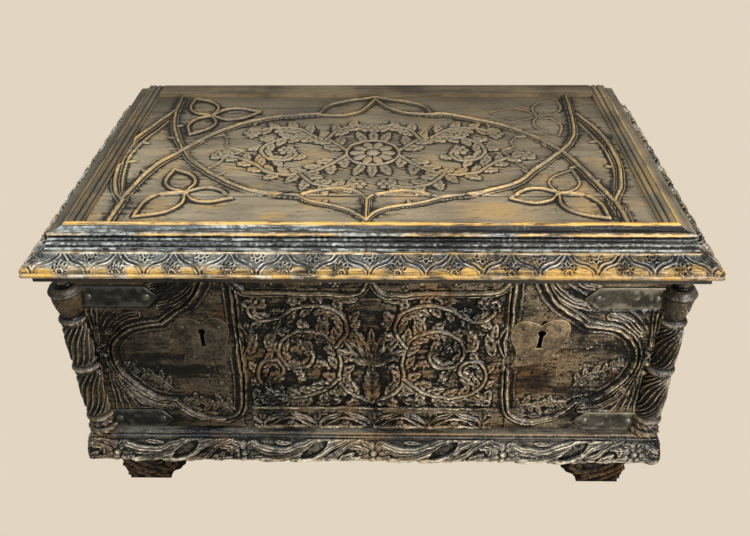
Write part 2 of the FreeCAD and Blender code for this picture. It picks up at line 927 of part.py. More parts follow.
def case_hinge_nail_places(side):
    centre = side * hinge_centre
    face = back_face + hinge_leaf_thickness
    return [Vector(centre, face, joint_level - share * hinge_case_leaf) for share in case_hinge_nail_shares]


def lid_hinge_nail_places(side):
    centre = side * hinge_centre
    face = back_face + hinge_leaf_thickness
    level = (joint_level + knuckle_radius + lid_leaf_top()) / 2
    return [Vector(centre + direction * hinge_width / 4, face, level) for direction in (-1, 1)]


def hinge_nails(places):
    return [nail(point, Vector(0, 1, 0), nail_head_radius, nail_head_height, nail_shank_radius,
                 nail_shank_length)
            for side in (-1, 1) for point in places(side)]


def hinge_holes(places, side):
    return [shank_hole(point, Vector(0, 1, 0), nail_shank_radius, nail_shank_length)
            for point in places(side)]


def back_holes():
    holes = hinge_holes(case_hinge_nail_places, -1) + hinge_holes(case_hinge_nail_places, 1)
    return Part.makeCompound(holes)


# Lid

def strip_section():
    return ((lid_strip_inset, joint_level), (lid_frame_reach, joint_level),
            (lid_frame_reach, strip_top), (lid_strip_inset, strip_top))


def cyma_section():
    nose = strip_top + cyma_nose_height
    shoulder = cyma_top - cyma_fillet_height
    half_run = cyma_run / 2
    half_rise = (nose + shoulder) / 2
    swell = cyma_step
    return ((0, strip_top), (0, nose), (half_run, half_rise, swell), (cyma_run, shoulder, -swell),
            (cyma_run + cyma_step, shoulder), (cyma_run + cyma_step, cyma_top),
            (lid_frame_reach, cyma_top), (lid_frame_reach, strip_top))


# The reeds climb from the fillet to the bead, then a cove runs up to the lip.
def edge_section():
    points = [(edge_top_inset, cyma_top), (edge_foot_inset, cyma_top)]
    reeds_top = lid_top - bead_height - cove_height
    for number in range(1, reed_count + 1):
        share = number / reed_count
        points.append((edge_foot_inset + share * (edge_bead_inset - edge_foot_inset),
                       cyma_top + share * (reeds_top - cyma_top), reed_bulge))
    points.append((edge_bead_inset, reeds_top + bead_height, bead_bulge))
    points.append((edge_top_inset - cove_lip, lid_top - lip_height, -cove_bulge))
    points.append((edge_top_inset - cove_lip, lid_top))
    points.append((edge_top_inset, lid_top))
    return points


def back_rail():
    half = lid_half - lid_frame_reach
    rail = block(-half, half, back_face - lid_rail_width, back_face, joint_level, cyma_top)
    return rail.cut(lid_back_holes())


def lid_back_holes():
    holes = hinge_holes(lid_hinge_nail_places, -1) + hinge_holes(lid_hinge_nail_places, 1)
    return Part.makeCompound(holes)


# Tracery of the lid on one half: x as a share of the half field, y as a share of its depth.
lid_tracery_shares = (
    ((0.884, 1.0), (0.861, 0.738), (0.790, 0.542)),
    ((0.790, 0.542), (0.610, 0.310), (0.280, 0.167)),
    ((0.898, 0.147), (0.850, 0.341), (0.765, 0.502)),
    ((0.765, 0.502), (0.565, 0.715), (0.280, 0.828)),
    ((0.886, 0.839), (0.972, 0.490), (0.898, 0.147)),
    ((0.280, 0.828), (0.120, 0.870), (0.000, 0.984)),
    ((0.280, 0.167), (0.120, 0.130), (0.000, 0.026)),
    ((0.898, 0.147), (0.902, 0.070), (0.898, 0.000)),
)

# Trefoils: the middle and the tips of the three lobes
lid_trefoil_shares = (
    ((0.690, 0.201), ((0.771, 0.364), (0.839, 0.040), (0.508, 0.161))),
    ((0.716, 0.808), ((0.824, 0.974), (0.508, 0.844), (0.776, 0.636))),
)
lobe_swell_share = 0.2


# Leafy scrolls in the pointed oval, on one half, and the leaves that stand on the rosette's ring
lid_scroll_shares = (
    ((0.102, 0.508), (0.298, 0.623), (0.453, 0.513)), ((0.453, 0.513), (0.380, 0.432), (0.310, 0.480)),
    ((0.241, 0.611), (0.345, 0.689), (0.510, 0.652)), ((0.102, 0.470), (0.290, 0.326), (0.461, 0.399)),
    ((0.461, 0.399), (0.535, 0.447), (0.612, 0.473)), ((0.278, 0.330), (0.180, 0.252), (0.057, 0.260)),
    ((0.196, 0.597), (0.145, 0.680), (0.024, 0.696)),
)
rosette_place_share = 0.491
ring_leaf_turns = (-20.0, 0.0, 20.0, 160.0, 180.0, 200.0)


def field_place(side):
    return lambda u, v: Vector(side * u * field_half, board_front + v * field_depth, field_level)


def lid_rosette():
    centre = field_place(1)(0, rosette_place_share)
    rise = Vector(0, 0, scroll_height)
    ring_inner = rosette_radius + rosette_ring_gap
    ring_outer = ring_inner + rosette_ring_width
    boss, hole, disc = (Part.makeCylinder(radius, scroll_height, centre)
                        for radius in (rosette_boss_radius, ring_inner, ring_outer))
    shapes = [boss, disc.cut(hole)]
    rays = [(number * full_turn / petal_count, rosette_boss_radius / 2, rosette_radius)
            for number in range(petal_count)]
    rays += [(turn, (ring_inner + ring_outer) / 2, 2 * rosette_radius) for turn in ring_leaf_turns]
    for turn, low, high in rays:
        ray = Vector(math.sin(math.radians(turn)), math.cos(math.radians(turn)), 0)
        shapes.append(carved_leaf(centre + ray * low, centre + ray * high, rise))
    return shapes


def lobe_bands(centre, tip, place, rise):
    shapes = []
    for turn in (-lobe_swell_share, lobe_swell_share):
        start = place(*centre)
        end = place(*tip)
        along = end - start
        across = Vector(-along.y, along.x, 0)
        middle = (start + end) * 0.5 + across * turn
        points = ((start.x, start.y), (middle.x, middle.y), (end.x, end.y))
        shapes.append(band(points, trefoil_rib_width, plan_view(field_level), rise))
    return shapes


def lid_ribs():
    rise = Vector(0, 0, border_height)
    shapes = []
    for side in (-1, 1):
        place = field_place(side)
        for points in lid_tracery_shares:
            shapes.append(stepped_rib(points, rib_width, rib_crest_width, place, rise))
        for centre, tips in lid_trefoil_shares:
            for tip in tips:
                shapes.extend(lobe_bands(centre, tip, place, rise * rib_shoulder_share))
        for points in lid_scroll_shares:
            shapes.append(band(points, stem_width, place, Vector(0, 0, scroll_height)))
    return shapes + lid_rosette()


def lid_board(low, high, ribs):
    plank = block(-board_half, board_half, low, high, cyma_top, field_level)
    window = block(-field_half, field_half, max(low, board_front), min(high, field_back),
                   field_level, lid_top)
    carving = [rib.common(window) for rib in ribs]
    carving = [rib for rib in carving if rib.Solids]
    return fused([plank] + carving)


def side_border(side):
    low = board_half - border_side_width
    strip = block(low, board_half, board_front, back_face, field_level, lid_top)
    middle = (low + board_half) / 2
    groove = block(middle - border_groove_width / 2, middle + border_groove_width / 2, board_front - overrun,
                   field_back, lid_top - border_groove_depth, lid_top + overrun)
    strip = strip.cut(groove)
    return strip if side > 0 else mirrored(strip)


def back_border():
    return block(-field_half, field_half, field_back, back_face, field_level, lid_top)


def build():
    for side, name in ((-1, "left"), (1, "right")):
        save("foot_front_" + name, foot(side, True))
        save("foot_rear_" + name, foot(side, False))
        save("end_board_" + name, end_board(side))
        save("plinth_" + name, side_run(plinth_section(), side))
        save("corner_column_" + name, column() if side > 0 else mirrored(column()))
        save("corner_strap_upper_" + name, corner_strap(side, *strap_rows()[0]))
        save("corner_strap_lower_" + name, corner_strap(side, *strap_rows()[1]))
        save("escutcheon_" + name, escutcheon(side))
        save("lock_case_" + name, lock_case(side))
        save("lock_bolt_" + name, lock_bolt(side))
        save("lock_drill_pin_" + name, drill_pin(side))
        save("hinge_leaf_case_" + name, case_leaf(side).cut(Part.makeCompound(
            hinge_holes(case_hinge_nail_places, side))))
        save("hinge_leaf_lid_" + name, lid_leaf(side).cut(Part.makeCompound(
            hinge_holes(lid_hinge_nail_places, side))))
        save("hinge_pin_" + name, hinge_pin(side))
        save("lid_staple_" + name, staple(side))
        save("lid_frame_" + name, side_run(strip_section(), side))
        save("lid_carved_edge_" + name, side_run(cyma_section(), side))
        save("lid_reeded_edge_" + name, side_run(edge_section(), side))
        save("lid_border_" + name, side_border(side))
    save("front_board", front_board())
    save("back_board", back_board())
    save("bottom_board", bottom_board())
    save("plinth_front", front_run(plinth_section()))
    save("strap_nails", Part.makeCompound(strap_nails()))
    save("escutcheon_nails", Part.makeCompound(escutcheon_nails()))
    save("lock_screws", Part.makeCompound(lock_screws()))
    save("case_hinge_nails", Part.makeCompound(hinge_nails(case_hinge_nail_places)))
    save("lid_hinge_nails", Part.makeCompound(hinge_nails(lid_hinge_nail_places)))
    plates = Part.makeCompound([staple_plate(-1), staple_plate(1)])
    save("lid_frame_front", front_run(strip_section()).cut(plates))
    save("lid_frame_back", back_rail())
    save("lid_carved_edge_front", front_run(cyma_section()))
    save("lid_reeded_edge_front", front_run(edge_section()))
    ribs = lid_ribs()
    joint = front_edge + lid_joint_inset
    save("lid_board_front", lid_board(board_front, joint, ribs))
    save("lid_board_main", lid_board(joint, back_face, ribs))
    save("lid_border_back", back_border())


build()
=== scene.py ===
import math

import bmesh
import bpy
import numpy as np
from mathutils import Matrix, Vector


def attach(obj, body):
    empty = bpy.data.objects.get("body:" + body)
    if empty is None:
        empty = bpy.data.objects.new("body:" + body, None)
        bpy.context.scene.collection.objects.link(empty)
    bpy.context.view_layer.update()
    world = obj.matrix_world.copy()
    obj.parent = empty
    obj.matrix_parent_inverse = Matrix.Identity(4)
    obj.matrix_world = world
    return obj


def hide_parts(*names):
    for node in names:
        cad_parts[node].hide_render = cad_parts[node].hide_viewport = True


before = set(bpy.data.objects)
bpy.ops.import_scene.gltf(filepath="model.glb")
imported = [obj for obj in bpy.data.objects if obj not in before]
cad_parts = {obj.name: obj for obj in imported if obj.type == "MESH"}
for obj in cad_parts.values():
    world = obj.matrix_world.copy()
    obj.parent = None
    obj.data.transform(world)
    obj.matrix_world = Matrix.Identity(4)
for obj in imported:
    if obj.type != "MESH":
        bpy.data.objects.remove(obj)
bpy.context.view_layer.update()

# Lengths below are in millimetres and become metres where a mesh is made; colours are linear.


# Feet
# Four low oak feet, sawn to a scroll and carved with a curled leaf; their oak is painted near black as shade,
# with warm brown on the worn crests.
# Each is glued and pegged under a corner of the plinth.

def shader_tree(name):
    material = bpy.data.materials.new(name)
    material.use_nodes = True
    return material, material.node_tree, material.node_tree.nodes["Principled BSDF"]


def filled(tree, node, sockets):
    for socket, value in sockets.items():
        if isinstance(value, bpy.types.NodeSocket):
            tree.links.new(value, node.inputs[socket])
        else:
            node.inputs[socket].default_value = value


def joined(tree, kind, sockets, out=0, **values):
    made = tree.nodes.new("ShaderNode" + kind)
    for key, value in values.items():
        setattr(made, key, value)
    filled(tree, made, sockets)
    return made.outputs[out]


def ramped(tree, value, low, high):
    return joined(tree, "MapRange", {"Value": value, "From Min": low, "From Max": high}, "Result",
                  interpolation_type="SMOOTHSTEP")


def multiplied(tree, first, second):
    return joined(tree, "Math", {0: first, 1: second}, operation="MULTIPLY")


def added(tree, first, second):
    return joined(tree, "Math", {0: first, 1: second}, operation="ADD")


def noise(tree, place, stretch, detail, turn=0.0):
    spot = joined(tree, "Mapping", {"Vector": place, "Scale": stretch, "Rotation": (0, 0, turn)})
    return joined(tree, "TexNoise", {"Vector": spot, "Scale": 1.0, "Detail": detail, "Roughness": 0.62})


def blended(tree, share, first, second):
    first, second = (value if isinstance(value, bpy.types.NodeSocket) else (*value, 1)
                     for value in (first, second))
    return joined(tree, "Mix", {0: share, 6: first, 7: second}, 2, data_type="RGBA")


# Waxed old oak: grain streaks, blotches of old varnish, dirt and painted shade in the hollows, and worn wood
# with painted highlights on the crests.
# A piece with a shade ramp is painted darker along one axis as shade, from its lit end to its shaded end, by a
# share.
def aged_oak(name, deep, bare, wear_and_sheen, gloss, grain=(5, 70, 70), wear=(0.12, 0.7), gilt=(0.55, 0.3, 0.07),
             blotch=8.0, dirt_and_shade=0.5, flecks=0.35, shade_ramp=None, tones=(0.72, 1.25), wax=0.5):
    material, tree, shader = shader_tree(name)
    place = joined(tree, "TexCoord", {}, "Object")
    streak = noise(tree, place, grain, 7.0)
    patch = noise(tree, place, (blotch, blotch, blotch), 4.0, 0.4)
    fine = noise(tree, place, tuple(side * 6 for side in grain), 3.0)
    crest = joined(tree, "Attribute", {}, "Fac", attribute_name="crest")
    gold = joined(tree, "Attribute", {}, "Fac", attribute_name="gilt")
    colour = blended(tree, ramped(tree, added(tree, streak, patch), *tones), deep, bare)
    ragged = added(tree, fine, patch)
    # Crests take the worn colour, which also serves as painted highlight on edges, and as painted sheen where
    # a moulding's crest is shifted.
    rubbed = multiplied(tree, ramped(tree, crest, *wear), ramped(tree, ragged, 0.76, 1.18))
    broken = noise(tree, place, (80, 80, 80), 3.0)
    rubbed = multiplied(tree, rubbed, ramped(tree, broken, 0.34, 0.58))
    colour = blended(tree, rubbed, colour, wear_and_sheen)
    speck = noise(tree, place, (240, 240, 240), 2.0)
    fleck = multiplied(tree, ramped(tree, speck, 0.6, 0.72), ramped(tree, patch, 0.35, 0.6))
    colour = blended(tree, multiplied(tree, fleck, flecks), colour, wear_and_sheen)
    golden = multiplied(tree, gold, ramped(tree, ragged, 0.75, 1.15))
    colour = blended(tree, golden, colour, gilt)
    # Dirt and painted shade darken the hollows towards near black.
    sunk = ramped(tree, crest, -0.05, -dirt_and_shade)
    colour = blended(tree, sunk, colour, tuple(part * 0.12 for part in deep))
    # Painted shade: one end of the piece is darkened along an axis.
    if shade_ramp:
        axis, light_end, dark_end, share = shade_ramp
        along_piece = joined(tree, "SeparateXYZ", {0: place}, axis)
        painted_shade = multiplied(tree, ramped(tree, along_piece, light_end, dark_end), share)
        colour = blended(tree, painted_shade, colour, (0.003, 0.002, 0.001))
    rough = joined(tree, "MapRange", {"Value": patch, "From Min": 0.3, "From Max": 0.7,
                                      "To Min": gloss, "To Max": gloss + 0.22}, "Result")
    grainy = added(tree, added(tree, streak, fine), speck)
    normal = joined(tree, "Bump", {"Strength": 0.9, "Distance": 0.0012, "Height": grainy})
    filled(tree, shader, {"Base Color": colour, "Roughness": rough, "Specular IOR Level": wax,
                          "Normal": normal})
    return material


def add_piece(name, mesh, material, body, replaced, sharp=55):
    mesh.materials.append(material)
    mesh.shade_smooth()
    mesh.set_sharp_from_angle(angle=math.radians(sharp))
    thing = bpy.data.objects.new(name, mesh)
    bpy.context.scene.collection.objects.link(thing)
    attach(thing, body)
    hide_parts(replaced)


def closed_mesh(name, bm):
    bmesh.ops.recalc_face_normals(bm, faces=bm.faces)
    mesh = bpy.data.meshes.new(name)
    bm.to_mesh(mesh)
    bm.free()
    return mesh


def smooth_step(value):
    value = np.clip(value, 0, 1)
    return value * value * (3 - 2 * value)


# Slow unevenness of hand work, from -1 to 1
def unevenness(across, along, cell, seed):
    dice = np.random.default_rng(seed)
    u, v = across / cell + 1000, along / cell + 1000
    grid = dice.uniform(-1, 1, (64, 64))
    i, j = np.floor(u).astype(int), np.floor(v).astype(int)
    s, t = smooth_step(u - i), smooth_step(v - j)
    corner = [[grid[(i + a) % 64, (j + b) % 64] for b in (0, 1)] for a in (0, 1)]
    return ((corner[0][0] * (1 - s) + corner[1][0] * s) * (1 - t)
            + (corner[0][1] * (1 - s) + corner[1][1] * s) * t)


def flowing(*points, steps=9):
    knots = np.array(points, float)
    ends = np.vstack([2 * knots[0] - knots[1], knots, 2 * knots[-1] - knots[-2]])
    t = np.linspace(0, 1, steps, endpoint=False)[:, None]
    parts = [0.5 * (2 * b + (c - a) * t + (2 * a - 5 * b + 4 * c - d) * t ** 2
                    + (3 * b - a - 3 * c + d) * t ** 3)
             for a, b, c, d in zip(ends, ends[1:], ends[2:], ends[3:])]
    return np.vstack(parts + [knots[-1:]])


def distance(across, along, path):
    nearest = np.full(across.shape, 1e12)
    for (u0, v0), (u1, v1) in zip(path, path[1:]):
        du, dv = u1 - u0, v1 - v0
        share = np.clip(((across - u0) * du + (along - v0) * dv) / (du * du + dv * dv + 1e-9), 0, 1)
        nearest = np.minimum(nearest, (across - u0 - share * du) ** 2 + (along - v0 - share * dv) ** 2)
    return np.sqrt(nearest)


# The section of a cut rib: rounded shoulders that rise to an edge in the middle
def roll(reach, width, height):
    share = np.clip(2 * reach / width, 0, 1)
    return height * (0.62 * np.sqrt(1 - share ** 2) + 0.38 * (1 - share))


# Hand cut lines don't run true: places are shifted by a few tenths to a millimetre or so.
def wandering(across, along, reach, cell, seed):
    return (across + reach * unevenness(across, along, cell, seed),
            along + reach * unevenness(across, along, cell, seed + 1))


hands = ((-1, "left"), (1, "right"))
# Painted shade: the feet's oak is kept near black.
foot_oak = aged_oak("foot_oak", deep=(0.003, 0.0018, 0.001), bare=(0.020, 0.010, 0.003),
                    wear_and_sheen=(0.15, 0.075, 0.022), gloss=0.4, grain=(20, 60, 60), wear=(0.3, 2.2), dirt_and_shade=1.2,
                    wax=0.2)
foot_height, foot_top, foot_low = 62.0, (385.0, 511.0), (420.0, 504.0)
foot_depth_top, foot_depth_low = 104.0, 72.0
foot_front_face, foot_rear_face = -319.65, 323.35
# Each stroke of the carved leaf: its width, its height, and its places on the foot's face
foot_strokes = (
    (10, 6.0, ((507, 60), (494, 42), (472, 27), (446, 17), (424, 4))),
    (9, 5.4, ((488, 61), (474, 47), (452, 36), (428, 29), (412, 30))),
    (8, 5.0, ((466, 61), (452, 52), (434, 48))),
    (9, 5.4, ((509, 42), (494, 26), (476, 14), (458, 1))),
    (8, 4.8, ((508, 22), (498, 12), (488, 0))),
    (8, 5.8, ((430, 58), (418, 60), (404, 54), (402, 44), (414, 40), (422, 47), (414, 51))),
    (7, 5.0, ((446, 14), (440, 22), (430, 20), (432, 12))),
)


# The carving dies out towards the top and the bottom of a foot.
def faded(value, level, rate):
    return value * np.clip(level * rate, 0, 1) * np.clip((1 - level) * rate, 0, 1)


def foot(name, side, face, inward, node):
    bm = bmesh.new()
    bmesh.ops.create_cube(bm, size=2)
    bmesh.ops.subdivide_edges(bm, edges=bm.edges, cuts=55, use_grid_fill=True)
    crest_layer = bm.verts.layers.float.new("crest")
    a, b, c = np.array([vert.co[:] for vert in bm.verts]).T
    level = (c + 1) / 2
    swing = 1 - smooth_step((level - 0.12) / 0.6)
    inner = foot_top[0] + (foot_low[0] - foot_top[0]) * swing
    outer = foot_top[1] + (foot_low[1] - foot_top[1]) * swing
    depth = foot_depth_top + (foot_depth_low - foot_depth_top) * (1 - level)
    x = inner + (outer - inner) * (a + 1) / 2
    z = level * foot_height
    u, v = wandering(x, z, 1.5, 11, 5 + side)
    rise = np.zeros(len(x))
    for width, height, points in foot_strokes:
        reach = distance(u, v, flowing(*points))
        rise = np.maximum(rise, roll(reach, width * 1.3, height))
    rise = faded(rise + 0.8 * unevenness(x, z, 4, 7), level, 9)
    y = face + inward * (b + 1) / 2 * depth - np.where(b < -0.999, inward * rise, 0)
    x = x + np.where(np.abs(a) > 0.999, faded(1.8 * a * np.cos(z * 0.42), level, 4), 0)
    for vert, across, deep, high, height in zip(bm.verts, side * x, y, z, rise):
        vert.co = (across / 1000, deep / 1000, high / 1000)
        vert[crest_layer] = 0.75 * (height - 2.6)
    add_piece(name, closed_mesh(name, bm), foot_oak, "case", node)


for side, hand in hands:
    foot("scroll_foot_front_" + hand, side, foot_front_face, 1, "foot_front_" + hand)
    foot("scroll_foot_rear_" + hand, side, foot_rear_face, -1, "foot_rear_" + hand)


# Plinth
# Oak moulding planted round the front and both ends, mitred at the front corners and nailed.
# Two beads run along its top; the face below is carved with rosettes and curling leaf blades.

lid_half, front_edge, back_face = 590.0, -341.65, 328.35


# How far each place is on the way from a leaf's root to its tip, and its distance from the midrib
def on_leaf(across, along, root, tip):
    du, dv = tip[0] - root[0], tip[1] - root[1]
    length = math.hypot(du, dv)
    share = ((across - root[0]) * du + (along - root[1]) * dv) / length ** 2
    return share, np.abs(((along - root[1]) * du - (across - root[0]) * dv) / length)


# A pointed leaf: its halves swell to a rim beside the sunk midrib, and large ones are lobed and veined.
def leaf(across, along, root, tip, width, height, lobes=0):
    u, v = on_leaf(across, along, root, tip)
    half = width / 2 * np.clip(4 * u * (1 - u), 0, 1) ** 0.6 * (1.25 - 0.5 * u)
    if lobes:
        half = half * (0.74 + 0.26 * np.abs(np.cos(math.pi * lobes * (u + 0.15))))
    side = np.clip(v / np.maximum(half, 1e-3), 0, 1)
    veins = 0.86 + 0.14 * np.cos(2 * math.pi * (max(lobes, 3) * u - 1.1 * side))
    body = (0.5 + side) * np.sqrt(1 - side ** 2) * veins
    return height * np.where((u > 0) & (u < 1), body, 0)


def leaves(across, along, rows, height, lobes=0):
    return np.maximum.reduce([leaf(across, along, *row, height, lobes) for row in rows])


def rosette(across, along, centre, radius, petals, height):
    du, dv = across - centre[0], along - centre[1]
    reach, turn = np.hypot(du, dv), np.arctan2(dv, du)
    fan = np.abs(np.cos(turn * petals / 2))
    share = np.clip(reach / (radius * (0.7 + 0.3 * fan ** 0.7)), 0, 1)
    petal = (0.45 + 0.75 * share) * np.sqrt(1 - share ** 2) * (0.45 + 0.55 * fan)
    boss = np.sqrt(np.clip(1 - (reach / (0.26 * radius)) ** 2, 0, 1))
    ring = np.exp(-((reach - 0.34 * radius) / (0.07 * radius)) ** 2)
    return height * (np.maximum(petal, boss) - 0.45 * ring * (share < 1))


def arc_between(start, end, bulge, count):
    (u0, v0), (u1, v1) = start, end
    share = np.linspace(0, 1, count)
    span = math.hypot(u1 - u0, v1 - v0)
    swell = 4 * bulge * share * (1 - share)
    return np.stack([u0 + (u1 - u0) * share - swell * (v1 - v0) / span,
                     v0 + (v1 - v0) * share + swell * (u1 - u0) / span], axis=1)


# A carved surface as rows of places; how far a place stands out of its surroundings is its crest.
def softened(field, reach):
    for axis in (0, 1):
        margin = [(0, 0)] * field.ndim
        margin[axis] = (reach, reach)
        padded = np.pad(field, margin, mode="edge")
        length = field.shape[axis]
        field = sum(np.take(padded, range(start, start + length), axis=axis)
                    for start in range(2 * reach + 1)) / (2 * reach + 1)
    return field


def exposure(places, reach):
    outward = np.cross(np.gradient(places, axis=1), np.gradient(places, axis=0))
    outward /= np.maximum(np.linalg.norm(outward, axis=2, keepdims=True), 1e-12)
    sharp, fine, broad = (((places - softened(places, size)) * outward).sum(axis=2)
                          for size in (1, reach, 3 * reach))
    return 1000 * (1.6 * sharp + 0.6 * fine + 0.3 * broad)


# The crest is scaled, then shifted: on the lid's front mouldings the shift paints sheen, glints and shade; on
# the plinth beads and the plank joint it darkens.
def carved_grid(places, outside, reach, gilt=None, calm=1.0, sheen_and_wear_shift=0.0):
    crest = exposure(places, reach) * outside * calm + sheen_and_wear_shift
    rows, columns = places.shape[:2]
    bm = bmesh.new()
    bmesh.ops.create_grid(bm, x_segments=columns - 1, y_segments=rows - 1, size=1)
    crest_layer = bm.verts.layers.float.new("crest")
    gilt_layer = bm.verts.layers.float.new("gilt")
    gold = np.zeros(rows * columns) if gilt is None else gilt.ravel()
    for vert, place, rise, shine in zip(bm.verts, places.reshape(-1, 3), crest.ravel(), gold):
        vert.co = place
        vert[crest_layer] = rise
        vert[gilt_layer] = shine
    bm.verts.ensure_lookup_table()
    return bm


# A moulding: rows go round its section, columns run along it.
def moulding_mesh(name, places, outside, reach, gilt=None, calm=1.0, sheen_and_wear_shift=0.0):
    rows, columns = places.shape[:2]
    bm = carved_grid(places, outside, reach, gilt, calm, sheen_and_wear_shift)
    first, last = set(bm.verts[:columns]), set(bm.verts[(rows - 1) * columns:])
    seam = [edge for edge in bm.edges if all(vert in first for vert in edge.verts)
            or all(vert in last for vert in edge.verts)]
    bmesh.ops.bridge_loops(bm, edges=seam)
    bmesh.ops.holes_fill(bm, edges=[edge for edge in bm.edges if edge.is_boundary])
    return closed_mesh(name, bm)


# The runs of one moulding: section places are (inset, height), and the carving lifts them off its face.
# The front run faces 0, and those at the ends face -1 and 1.
def section_normals(section):
    step = np.gradient(section, axis=0)
    step /= np.maximum(np.linalg.norm(step, axis=1, keepdims=True), 1e-9)
    return np.stack([-step[:, 1], step[:, 0]], axis=1)


def front_run(section, columns):
    share = np.linspace(-1, 1, columns)[None, :]
    return share * (lid_half - section[:, 0][:, None])


def side_run(section, columns):
    share = np.linspace(0, 1, columns)[None, :]
    start = front_edge + section[:, 0][:, None]
    return start + share * (back_face - start)


# How far each place of a run lies from the mitre at the front corner
def to_corner(section, along, facing):
    inset = section[:, 0][:, None]
    return along - (front_edge + inset) if facing else (lid_half - inset) - np.abs(along)


def section_grid(section, along):
    return (np.broadcast_to(section[:, axis][:, None], along.shape) for axis in (0, 1))


def run_places(section, along, lift, facing):
    normal = section_normals(section)
    inset = section[:, 0][:, None] + lift * normal[:, 0][:, None]
    level = section[:, 1][:, None] + lift * normal[:, 1][:, None]
    if facing == 0:
        places = [along, front_edge + inset, level]
    else:
        places = [facing * (lid_half - inset), along, level]
    return np.stack(np.broadcast_arrays(*places), axis=2) / 1000


frieze_period = 259.0
plinth_oak = aged_oak("plinth_oak", deep=(0.005, 0.0045, 0.004), bare=(0.110, 0.096, 0.073),
                      wear_and_sheen=(0.84, 0.72, 0.51), gloss=0.18, wear=(0.5, 2.9), gilt=(0.36, 0.19, 0.045),
                      dirt_and_shade=0.7, tones=(0.84, 1.14))
plinth_section = np.vstack([
    [(48, 62), (19, 62)],
    arc_between((17.5, 62.4), (15.2, 66), 0.6, 4),
    flowing((15, 67.5), (15.1, 82), (16.6, 96), (20, 108), (24, 116), steps=9),
    [(25.6, 117.4)], arc_between((26, 118.2), (29.4, 122), 1.6, 7),
    [(30.4, 122.2)], arc_between((31, 123), (34.8, 127.4), 1.8, 7),
    [(36, 127.8), (37.5, 128), (48, 128)],
])


# A sunk petal lies inside a thin raised rim.
def sunk_petal(across, along, root, tip, width, height):
    u, v = on_leaf(across, along, root, tip)
    half = width / 2 * np.clip(4 * u * (1 - u), 0, 1) ** 0.7
    rim = height * np.exp(-((v - half) / 0.9) ** 2)
    return np.where((u > -0.06) & (u < 1.06), np.where(v < half - 0.8, rim - 1.9, rim), 0)


# Between two rosettes: two swags, three sweeping blades, an oval hollow with a rim, and small leaves
def leaf_frieze(along, level, start):
    place = (along - start) / frieze_period
    local = (place - np.round(place)) * frieze_period
    beside = np.abs(local)
    lift = np.maximum(rosette(local, level, (0, 86), 27, 7, 6.0), rosette(beside, level, (25, 92), 12, 5, 4.6))
    lift = np.maximum(lift, leaf(beside, level, (4, 104), (26, 112), 12, 4.5))
    lift = np.maximum(lift, leaf(beside, level, (10, 70), (34, 74), 12, 4.0))
    span = (place - np.floor(place)) * frieze_period
    # Each stroke: its half width, its height and its places
    strokes = (
        (8, 5.4, ((18, 106), (46, 95), (84, 92), (114, 104), (152, 117))),
        (6, 4.2, ((24, 94), (46, 85), (76, 83), (104, 92), (134, 110))),
        (9, 5.6, ((34, 64), (76, 71), (114, 87), (148, 106), (188, 117))),
        (8, 6.0, ((96, 63), (124, 68), (152, 82), (174, 102), (206, 117))),
        (7, 4.8, ((140, 63), (166, 70), (186, 84), (204, 104), (232, 116))),
    )
    for width, height, points in strokes:
        reach = distance(span, level, flowing(*points))
        blade = height * np.sqrt(np.clip(1 - (reach / width) ** 2, 0, 1))
        lift = np.maximum(lift, blade - 1.6 * np.exp(-((reach - 0.35 * width) / 1.1) ** 2))
    scoop = sunk_petal(span, level, (108, 70), (168, 114), 27, 5.2)
    lift = np.where(scoop < -1, scoop, np.maximum(lift, scoop))
    small = (((158, 66), (196, 92), 15), ((188, 66), (220, 86), 15), ((206, 104), (238, 98), 14),
             ((200, 68), (230, 72), 12), ((60, 112), (96, 108), 9), ((50, 76), (84, 84), 9))
    return np.maximum(lift, leaves(span, level, small, 4.8, 2))


def plinth_lift(along, start, seed):
    inset, level = section_grid(plinth_section, along)
    face = (inset < 25) & (level > 62.3)
    fade = smooth_step((level - 62) / 3) * smooth_step((119 - level) / 4) * face
    run, climb = wandering(along, level, 1.5, 15, seed + 7)
    lift = 1.3 * (leaf_frieze(run, climb, start) - 2.0) * fade
    lift = lift * (1 + 0.22 * unevenness(along, level, 12, seed + 9))
    chips = 0.4 * unevenness(along, level, 7, seed) + 0.3 * unevenness(along, level, 3, seed + 1)
    return lift + (inset < 36) * chips


def plinth_run(name, along, facing, start, shine, seed, node):
    level = plinth_section[:, 1][:, None] + 0 * along
    lift = plinth_lift(along, start, seed) * smooth_step(to_corner(plinth_section, along, facing) / 9)
    rubbed = smooth_step((unevenness(along, level, 60, seed + 2) - 0.25) * 2) * (level < 126)
    bead = np.exp(-((level - 125.4) / 1.3) ** 2) * np.interp(along, [-300, 100], [0.1, 0.9])
    places = run_places(plinth_section, along, lift, facing)
    gold = np.clip(shine * (0.3 * rubbed + bead), 0, 1)
    beads = level > 117.5
    mesh = moulding_mesh(name, places, facing or 1, 3, gold, calm=np.where(beads, 0.5, 1.0),
                         sheen_and_wear_shift=np.where(beads, -0.42, 0.0))
    add_piece(name, mesh, plinth_oak, "case", node)


plinth_run("carved_plinth_front", front_run(plinth_section, 860), facing=0, start=3, shine=1.0, seed=3,
           node="plinth_front")
for side, hand in hands:
    plinth_run("carved_plinth_" + hand, side_run(plinth_section, 360), facing=side, start=-190, shine=0.4,
               seed=6 + side, node="plinth_" + hand)


# Case boards
# Plain oak planks, waxed outside and left bare and brown inside, nailed at the corners.
# The bottom board lies between them just above the feet.

case_oak = aged_oak("case_oak", deep=(0.022, 0.016, 0.011), bare=(0.115, 0.085, 0.055),
                    wear_and_sheen=(0.2, 0.15, 0.1), gloss=0.5, grain=(3, 50, 50))
end_oak = aged_oak("end_oak", deep=(0.014, 0.011, 0.008), bare=(0.085, 0.066, 0.045),
                   wear_and_sheen=(0.2, 0.15, 0.1), gloss=0.42, grain=(50, 3, 50))


